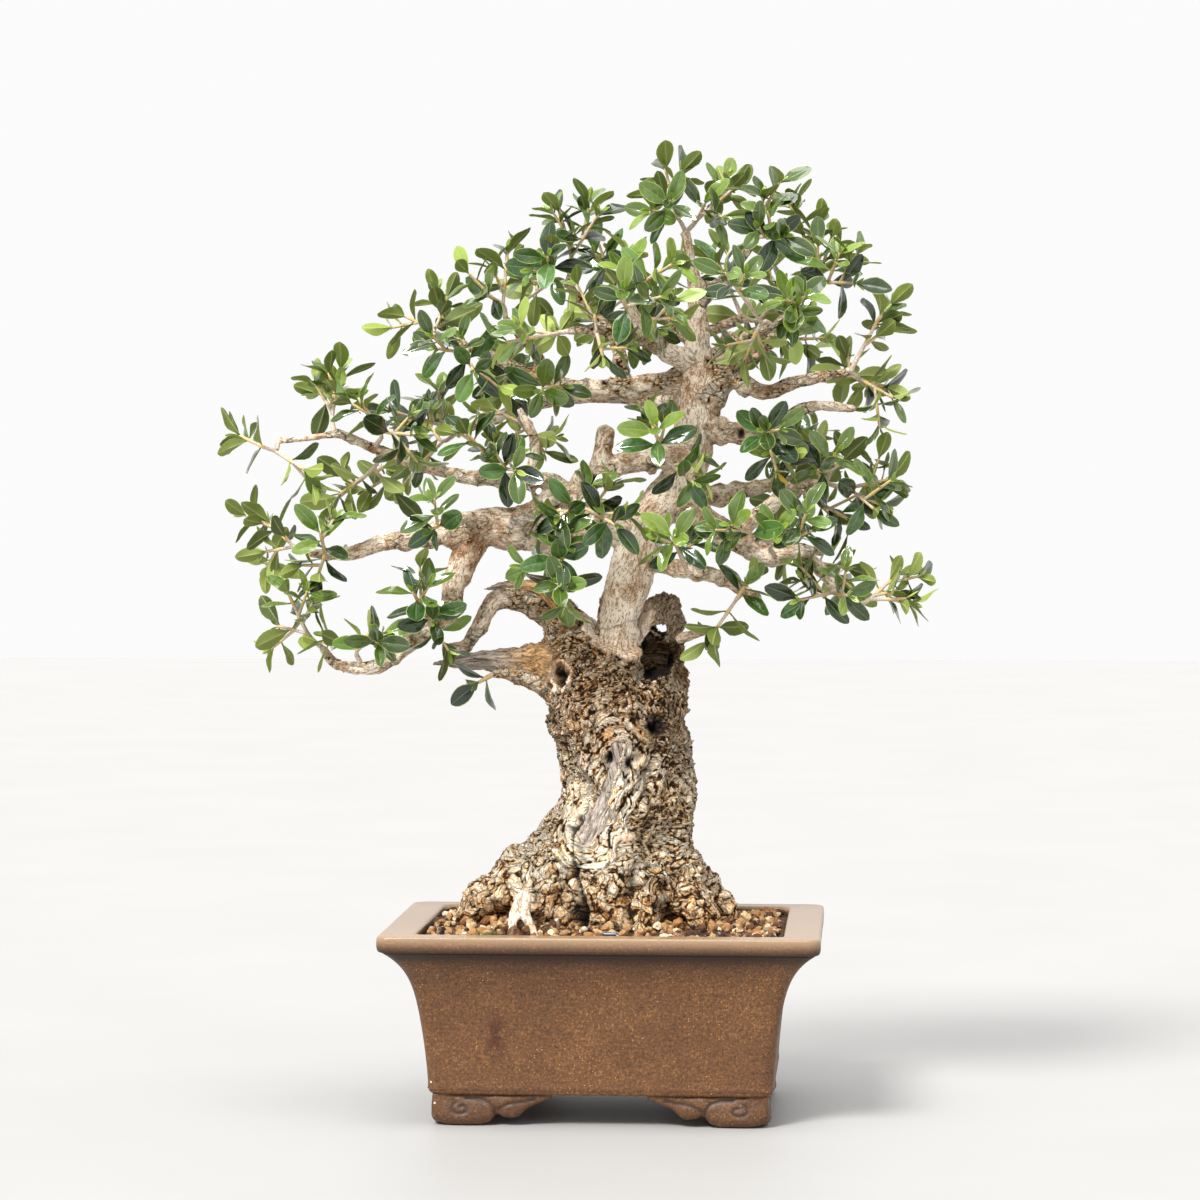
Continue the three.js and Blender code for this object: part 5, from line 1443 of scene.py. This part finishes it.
def build_pot_body(material):
    """The fired body: one wall from the underside over the rim to the floor, with two drain holes."""
    rings, outside = [], []
    for half, z in pot_profile():
        within = half < inner_half(z) + 0.01
        rings.append(ring_of(half, RIM_CORNER + 3 * (z > FOOT_HEIGHT + 5 and within), z))
        outside += [half > inner_half(z) + 0.01] * len(rings[0])
    points, faces = closed(rings)
    outside = np.array(outside)
    wobble = fractal(points, 55.0, 2, 1.5) * 0.25
    points[:, :2] += np.sign(points[:, :2]) * (wobble * outside)[:, None]
    z = points[:, 2]
    # Painted shadow under the rim's overhang, and painted shade down the inside wall.
    shadow = 0.95 * bell(z - BODY_TOP + 1.5, UNDER_RIM) * outside
    shadow = np.maximum(shadow, 0.85 * (~outside) * (z < POT_HEIGHT - 3))
    # A painted sheen lightens the rim towards its top, where it is also glossier.
    dust = smoothstep(BODY_TOP + 1, POT_HEIGHT - 0.2, z) * outside
    form, drills = Form(), Form()
    form.add(points, faces, shadow=shadow, dust=dust)
    for x in (-DRAIN_X, DRAIN_X):
        drills.add(*tube([[x, 0, z, DRAIN_RADIUS] for z in (DRILL_FROM, DRILL_TO)], 40))
    helpers = [form.object("pot_rough"), drills.object("drill")]
    modify(helpers[0], "BOOLEAN", operation="DIFFERENCE", solver="EXACT", object=helpers[1])
    mesh = shaped("pot_body", *helpers)
    mesh.set_sharp_from_angle(angle=SHARP_POT)
    piece_of(mesh, "pot_body", [material], "stoneware", "pot")


def foot_arm(bulb, lobe, tail, flip):
    """One arm of a foot along x or y: sections of the cloud's rounded outline."""
    # The underside, as distance from the pot's corner and height: bulb, lobe and rising tail.
    places = [
        0, 1.2, 4, 8, bulb - 7, bulb - 2, bulb, bulb + 1.5, bulb + 4, lobe - 3, lobe, lobe + 2, lobe + 6,
        tail - 4, tail,
    ]
    heights = [6, 2.6, 0.8, 0.0, 0.0, 1.8, 5.2, 5.4, 3.8, 3.4, 4.6, 7.2, 9.6, 11.6, 13.2]
    top = FOOT_HEIGHT + 1.0
    angle = 2 * math.pi * np.arange(FOOT_SIDES) / FOOT_SIDES
    cosine, sine = np.cos(angle), np.sin(angle)
    wide, high = (np.copysign(np.abs(part) ** FOOT_SQUARENESS, part) for part in (cosine, sine))
    rings = []
    for s in np.linspace(0, tail, 48):
        low = float(np.interp(s, places, heights))
        swell = 1.9 * bell(s - bulb * 0.52, bulb * 0.42) + 0.8 * bell(s - (bulb + lobe) / 2, 5)
        thick = FOOT_THICK * (0.55 + 0.45 * smoothstep(tail, lobe - 4, s))
        height = (low + top) / 2 + high * (top - low) / 2
        belly = swell * bell(height - low - 5.0, 5.0) * (cosine < 0)
        depth = thick / 2 + wide * thick / 2 - belly
        along = np.full(FOOT_SIDES, s)
        rings.append(np.stack([depth, along, height] if flip else [along, depth, height], 1))
    points, faces = closed(rings)
    return points, faces if flip else [block[:, ::-1] for block in faces]


def curl_lines():
    """The incised curl on a foot's faces, as (distance from the corner, height) places."""
    spiral = [
        (14 + (5.0 - 0.62 * t) * math.cos(t + 2.2), 8.4 + (3.4 - 0.4 * t) * math.sin(t + 2.2))
        for t in np.linspace(0, 6.0, 22)
    ]
    sweep = [(30, 6.4), (29.5, 9.0), (27, 11.6), (22, 13.2), (16, 13.6)]
    tail = [(31, 7.6), (34, 9.8), (38, 11.0), (43, 11.6), (49, 12.8)]
    return [spiral, sweep, tail]


def build_feet(material):
    """The four cloud feet, alike but mirrored, each of two arms that meet in the fat bulb at the corner."""
    half = float(body_half(FOOT_HEIGHT)) - FOOT_INSET
    arms = Form()
    for outline, flip in ((FRONT_FOOT, False), (SIDE_FOOT, True)):
        arms.add(*foot_arm(*outline, flip))
    mesh = skinned(arms, "foot", FOOT_VOXEL, 2)
    points, normals = read(mesh)
    faces = np.array([polygon.vertices[:] for polygon in mesh.polygons])
    bpy.data.meshes.remove(mesh)
    groove = np.zeros(len(points))
    for line in curl_lines():
        for column, facing, scale in ((0, 1, 1.0), (1, 0, 0.8)):
            flat = np.stack([points[:, column] / scale, points[:, 1], points[:, 2]], 1)
            cut = bell(line_distance(flat, line), CURL_WIDTH) * (normals[:, facing] < -0.35)
            groove = np.maximum(groove, cut)
    points = points - normals * (CURL_DEPTH * groove)[:, None]
    points[:, 2] = np.maximum(points[:, 2], 0.0)
    points[:, :2] -= (half, half_depth(half))
    form = Form()
    for sx in (1, -1):
        for sy in (1, -1):
            turned = faces if sx * sy > 0 else faces[:, ::-1]
            # Painted shade over the feet, deepest in the incised curl.
            form.add(points * (sx, sy, 1), [turned], shadow=0.28 + 0.7 * groove, dust=0.0)
    piece_of(form.mesh("pot_feet"), "pot_feet", [material], "stoneware", "pot")


# ---- soil ----

HEAP = (4.2, 7.0)  # how much the soil is heaped up against the wood, and how far out
BED_TOP = SOIL_TOP - 1.4
GRAIN_SEED, GRAIN_TRIES, GRAIN_COUNT = 11, 2600, 1150
GRAIN_LEVEL = SOIL_TOP - 0.4
GRAIN_SMALL, GRAIN_SPREAD = 0.36, 0.75  # shares of the grain size
GRAIN_RARITY = 2.4  # how much fewer the large grains are
GRAIN_DENT = 0.16
MOSS_SEED = 5
# Cushions of moss: x, y, width and depth in mm.
CUSHIONS = (
    (-52, -58, 9, 5), (-60, -52, 5, 4), (-41, -57.5, 4, 3), (66, 40, 9, 6), (-64, 36, 8, 6), (10, 60, 7, 4),
)
LEAFLETS = 4.5  # on each square millimetre of a cushion's box
LEAFLET_RADIUS = 0.28
LEAFLET_FACES = [(0, 1, 3), (1, 2, 3), (2, 0, 3), (1, 0, 4), (2, 1, 4), (0, 2, 4)]


def soil_rise(points, bark):
    """How high the soil is heaped: it climbs a little towards the trunk and the roots."""
    far = [bark.find_nearest(in_frame((x, y, SOIL_TOP)))[3] / MM for x, y in points[:, :2]]
    return HEAP[0] * bell(np.array(far), HEAP[1])


def build_soil(material, bark):
    """The bed of fines that the grains lie on, filling the pot."""
    levels = [*np.linspace(FLOOR + 1.9, SOIL_TOP - 2.5, 8), SOIL_TOP - 1.6]
    rings = [ring_of(float(inner_half(z)) - GAP, RIM_CORNER + 3, z) for z in levels]
    rings += [rings[-1] * (share, share, 1) for share in np.linspace(0.985, 0.02, 46)]
    points, faces = closed(rings)
    top = points[len(levels) * len(rings[0]):]
    bumps = fractal(top, 4.5, 3, 4.0) * 0.9 + fractal(top, 18.0, 2, 8.0) * 0.6
    top[:, 2] = BED_TOP + soil_rise(top, bark) + bumps
    form = Form()
    form.add(points, faces)
    piece_of(form.mesh("soil_bed"), "soil_bed", [material], "soil", "soil")


def ball_points():
    """A ball of 42 points and 80 faces, from which each grain is broken."""
    mesh = bpy.data.meshes.new("ball")
    shape = bmesh.new()
    bmesh.ops.create_icosphere(shape, subdivisions=2, radius=1.0)
    shape.to_mesh(mesh)
    shape.free()
    points = np.array([vertex.co[:] for vertex in mesh.vertices])
    faces = np.array([face.vertices[:] for face in mesh.polygons])
    bpy.data.meshes.remove(mesh)
    return points, faces


def turn_matrix(random):
    """A seeded turn about any axis."""
    q = random.normal(size=4)
    w, x, y, z = q / np.linalg.norm(q)
    return np.array([
        [1 - 2 * (y * y + z * z), 2 * (x * y - z * w), 2 * (x * z + y * w)],
        [2 * (x * y + z * w), 1 - 2 * (x * x + z * z), 2 * (y * z - x * w)],
        [2 * (x * z - y * w), 2 * (y * z + x * w), 1 - 2 * (x * x + y * y)],
    ])


def build_grains(sizes, material, bark):
    """Pumice and akadama grains, 2 to 7 mm across, strewn over the bed."""
    random = np.random.default_rng(GRAIN_SEED)
    ball, faces = ball_points()
    half = float(inner_half(SOIL_TOP)) - 2.0
    deep = half_depth(half)
    places = random.uniform((-half, -deep), (half, deep), (GRAIN_TRIES, 2))
    form = Form()
    for (x, y), rise in zip(places, soil_rise(places, bark)):
        size = sizes.grain / MM * (GRAIN_SMALL + GRAIN_SPREAD * random.random() ** GRAIN_RARITY) / 2
        tone = 0.14 + 0.86 * random.random()
        turn, squeeze = turn_matrix(random), random.uniform(0.7, 1.15, 3)
        dents = 1 + GRAIN_DENT * random.normal(size=len(ball))
        layer = random.uniform(-0.6, 1.1) * size * 0.7
        if abs(x) > half - size or abs(y) > deep - size:
            continue
        centre = np.array([x, y, GRAIN_LEVEL + rise + layer])
        near, normal, _, _ = bark.find_nearest(in_frame(centre))
        if (in_frame(centre) - near).dot(normal) < 0 or form.count >= GRAIN_COUNT * len(ball):
            continue
        form.add((ball * dents[:, None] * squeeze) @ turn.T * size + centre, [faces], tone=tone)
    mesh = form.mesh("soil_grains")
    mesh.set_sharp_from_angle(angle=SHARP_GRAIN)
    piece_of(mesh, "soil_grains", [material], "soil", "soil")


def build_moss(material):
    """Small cushions of moss: a low mound covered in short pointed leaflets."""
    random = np.random.default_rng(MOSS_SEED)
    form = Form()
    ball, faces = ball_points()
    for x, y, wide, deep in CUSHIONS:
        form.add(ball * (wide, deep, 2.2) * 0.5 + (x, y, SOIL_TOP + 0.4), [faces])
        for _ in range(int(LEAFLETS * wide * deep)):
            a, r = random.uniform(0, 2 * math.pi), math.sqrt(random.random())
            rise = SOIL_TOP + 0.6 + 1.1 * math.sqrt(1 - r * r)
            foot = np.array([x + 0.5 * wide * r * math.cos(a), y + 0.5 * deep * r * math.sin(a), rise])
            lean = unit(np.array([random.normal() * 0.5, random.normal() * 0.5, 1.0]))
            tip = foot + lean * random.uniform(0.9, 1.8)
            first, second = around(lean)
            ring = [
                foot + LEAFLET_RADIUS * (first * math.cos(k) + second * math.sin(k)) for k in (0, 2.1, 4.2)
            ]
            form.add([*ring, tip, foot - lean * 0.3], [LEAFLET_FACES])
    piece_of(form.mesh("moss"), "moss", [material], "soil")


def build_wire(material):
    """The loop of tie wire that shows in front of the trunk."""
    form = Form()
    form.add(*tube(spline([[*place, WIRE_RADIUS] for place in WIRE_ROUTE], 0.8), 20))
    piece_of(form.mesh("wire_loop"), "wire_loop", [material], "wire", "tie_wire")


# ---- stage ----

CAMERA_DISTANCE = 1900.0
CAMERA_HEIGHT = 303.0
CAMERA_TURN = math.radians(3.9)  # seen a little from the right
CAMERA_DOWN = math.radians(1.635)
CAMERA_SIDE = -3.9
FRAME_PIXELS = 1200
FOCAL_PIXELS = 3889.0
SENSOR = 36.0
FLOOR_REACH = 5.0  # metres


def set_camera():
    """The camera: a long lens from the front, a little above the middle of the tree."""
    data = bpy.data.cameras.new("camera")
    data.sensor_width = SENSOR
    data.lens = FOCAL_PIXELS / FRAME_PIXELS * SENSOR
    camera = new_object("camera", data)
    across, back = CAMERA_DISTANCE * math.sin(CAMERA_TURN), CAMERA_DISTANCE * math.cos(CAMERA_TURN)
    camera.location = in_frame((CAMERA_SIDE + across, -back, CAMERA_HEIGHT))
    camera.rotation_euler = (math.pi / 2 - CAMERA_DOWN, 0, CAMERA_TURN)
    bpy.context.scene.camera = camera


def add_soft_sun(name, place, strength, softness):
    """A wide soft light that falls evenly on object and floor, from the side of place."""
    data = bpy.data.lights.new(name, "SUN")
    data.energy = strength
    data.angle = math.radians(softness)
    light = new_object(name, data)
    light.location = Vector(place)
    light.rotation_euler = (-Vector(place)).to_track_quat("-Z", "Y").to_euler()


def set_stage(colours, light):
    """A wide pale floor, a bright plain surround and soft lights."""
    mesh = bpy.data.meshes.new("floor")
    corners = [(FLOOR_REACH * x, FLOOR_REACH * y, 0) for x, y in ((-1, -1), (1, -1), (1, 1), (-1, 1))]
    mesh.from_pydata(corners, [], [(0, 1, 2, 3)])
    mesh.materials.append(finish("PaleEmulsionPaint", painted_floor, colours))
    floor = new_object("floor", mesh)
    world = bpy.data.worlds.new("surround")
    bpy.context.scene.world = world
    world.use_nodes = True
    surround = world.node_tree.nodes["Background"]
    surround.inputs["Color"].default_value = rgba("ffffff")
    surround.inputs["Strength"].default_value = light.surround
    add_soft_sun("key_light", (-0.7, -1.2, 1.5), light.key, 18.0)
    add_soft_sun("fill_light", (1.4, -0.8, 0.9), light.fill, 60.0)
    add_soft_sun("top_light", (0.1, -0.25, 1.6), light.top, 28.0)
    bpy.context.scene.view_settings.view_transform = "Standard"
    set_camera()


# ---- the add-on ----


def colour_property(name, description, text):
    return bpy.props.FloatVectorProperty(
        name=name, description=description, default=rgba(text)[:3], subtype="COLOR", size=3,
        min=0.0, max=1.0,
    )


def length_property(name, description, default, low, high):
    """A length that is given in mm."""
    return bpy.props.FloatProperty(
        name=name, description=description, default=default * MM, subtype="DISTANCE", unit="LENGTH",
        min=low * MM, max=high * MM, precision=5,
    )


def number_property(name, description, default, high):
    return bpy.props.FloatProperty(name=name, description=description, default=default, min=0.0, max=high)


class OliveColours(bpy.types.PropertyGroup):
    """Colours of the olive's finishes."""

    bark_dark: colour_property("Bark cracks", "Colour between the plates of old bark", "5a3f27")
    bark_mid: colour_property("Bark", "Middle colour of old bark", "ae7b45")
    bark_light: colour_property("Bark plates", "Colour on the plates of old bark", "eccb97")
    leaf_dark: colour_property("Old leaf", "Upper side of the oldest leaves", "0e2809")
    leaf_mid: colour_property("Leaf", "Upper side of most leaves", "1e410f")
    leaf_young: colour_property("Young leaf", "Upper side of young leaves", "79952b")
    leaf_under: colour_property("Leaf underside", "Felted side of the leaves", "717f36")
    clay: colour_property("Stoneware", "Fired body of the pot", "5b3a1f")
    pumice: colour_property("Pumice", "Lightest grains of the soil", "f0e2c6")
    akadama: colour_property("Akadama", "Ochre grains of the soil", "ab7a46")
    floor: colour_property("Floor", "Paint of the floor", "a8a7a5")


class OliveSizes(bpy.types.PropertyGroup):
    """Sizes that set how fine the pieces are."""

    trunk_skin: length_property("Trunk skin", "Spacing of the points on the trunk", 1.05, 0.5, 4)
    limb_skin: length_property("Limb skin", "Spacing of the points on the limbs", 1.0, 0.5, 4)
    bark_relief: number_property("Bark relief", "Depth of the bark's plates against life", 1.0, 2.0)
    grain: length_property("Soil grain", "Size of the larger soil grains", 5.4, 2, 9)


class OliveLight(bpy.types.PropertyGroup):
    """Strength of the studio light."""

    surround: number_property("Surround", "Brightness of the plain surround", 0.97, 5.0)
    key: number_property("Key", "Strength of the soft main light", 4.2, 20.0)
    fill: number_property("Fill", "Strength of the soft light from the right", 0.2, 20.0)
    top: number_property("Top", "Strength of the soft light from above", 1.2, 20.0)


class OLIVE_OT_wood(bpy.types.Operator):
    """Build the trunk with its roots and dead wood, and the live limbs"""

    bl_idname = "olive.wood"
    bl_label = "Trunk and limbs"

    def execute(self, context):
        sizes = context.scene.olive_sizes
        material = finish("OliveBarkAndDeadwood", olive_wood, context.scene.olive_colours)
        build_trunk(sizes, material)
        build_limbs(sizes, material)
        return {"FINISHED"}


class OLIVE_OT_sprays(bpy.types.Operator):
    """Grow the leafy sprays out of the limbs"""

    bl_idname = "olive.sprays"
    bl_label = "Leafy sprays"

    def execute(self, context):
        colours = context.scene.olive_colours
        materials = [
            finish("OliveLeafWaxySide", leaf_upper, colours),
            finish("OliveLeafFeltSide", leaf_lower, colours),
            finish("OliveTwigBark", twig_bark),
        ]
        bark = bark_tree()
        for index, tips in enumerate(SPRAYS):
            build_spray(index + 1, tips, bark, materials)
        return {"FINISHED"}


class OLIVE_OT_pot(bpy.types.Operator):
    """Throw the stoneware pot and its four cloud feet"""

    bl_idname = "olive.pot"
    bl_label = "Stoneware pot"

    def execute(self, context):
        material = finish("FiredStoneware", stoneware, context.scene.olive_colours)
        build_pot_body(material)
        build_feet(material)
        return {"FINISHED"}


class OLIVE_OT_soil(bpy.types.Operator):
    """Fill the pot with fines, grains and moss"""

    bl_idname = "olive.soil"
    bl_label = "Soil and moss"

    def execute(self, context):
        bark = bark_tree()
        stone = finish("PumiceAndAkadama", grain_stone, context.scene.olive_colours)
        build_soil(finish("DampSoilFines", soil_fines), bark)
        build_grains(context.scene.olive_sizes, stone, bark)
        build_moss(finish("CushionMoss", cushion_moss))
        return {"FINISHED"}


class OLIVE_OT_wire(bpy.types.Operator):
    """Bend the tie wire and finish the drain screens"""

    bl_idname = "olive.wire"
    bl_label = "Tie wire and screens"

    def execute(self, context):
        build_wire(finish("AnodisedAluminiumWire", anodised_wire))
        plastic = finish("MouldedPolyethylene", screen_plastic)
        for name in ("drain_screen_left", "drain_screen_right"):
            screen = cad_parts[name]
            if not screen.material_slots:
                screen.data.materials.append(plastic)
            for held in screen.material_slots:
                held.material = plastic
        return {"FINISHED"}


class OLIVE_OT_stage(bpy.types.Operator):
    """Lay the pale floor and set the lights and the camera"""

    bl_idname = "olive.stage"
    bl_label = "Studio stage"

    def execute(self, context):
        set_stage(context.scene.olive_colours, context.scene.olive_light)
        return {"FINISHED"}


OPERATORS = (OLIVE_OT_wood, OLIVE_OT_sprays, OLIVE_OT_pot, OLIVE_OT_soil, OLIVE_OT_wire, OLIVE_OT_stage)


class OLIVE_PT_panel(bpy.types.Panel):
    """Lists the pieces of the olive bonsai"""

    bl_idname = "OLIVE_PT_panel"
    bl_label = "Olive bonsai"
    bl_space_type = "VIEW_3D"
    bl_region_type = "UI"
    bl_category = "Olive"

    def draw(self, context):
        for operator in OPERATORS:
            self.layout.operator(operator.bl_idname)
        for group in (context.scene.olive_sizes, context.scene.olive_colours, context.scene.olive_light):
            for key in group.bl_rna.properties.keys():
                if key not in ("rna_type", "name"):
                    self.layout.prop(group, key)


CLASSES = (OliveColours, OliveSizes, OliveLight, *OPERATORS, OLIVE_PT_panel)


def register():
    for kind in CLASSES:
        bpy.utils.register_class(kind)
    bpy.types.Scene.olive_colours = bpy.props.PointerProperty(type=OliveColours)
    bpy.types.Scene.olive_sizes = bpy.props.PointerProperty(type=OliveSizes)
    bpy.types.Scene.olive_light = bpy.props.PointerProperty(type=OliveLight)


def unregister():
    for key in ("olive_colours", "olive_sizes", "olive_light"):
        delattr(bpy.types.Scene, key)
    for kind in reversed(CLASSES):
        bpy.utils.unregister_class(kind)


def main():
    register()
    bpy.ops.olive.stage()
    bpy.ops.olive.wood()
    bpy.ops.olive.pot()
    bpy.ops.olive.soil()
    bpy.ops.olive.wire()
    bpy.ops.olive.sprays()
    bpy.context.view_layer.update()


if __name__ == "__main__":
    main()
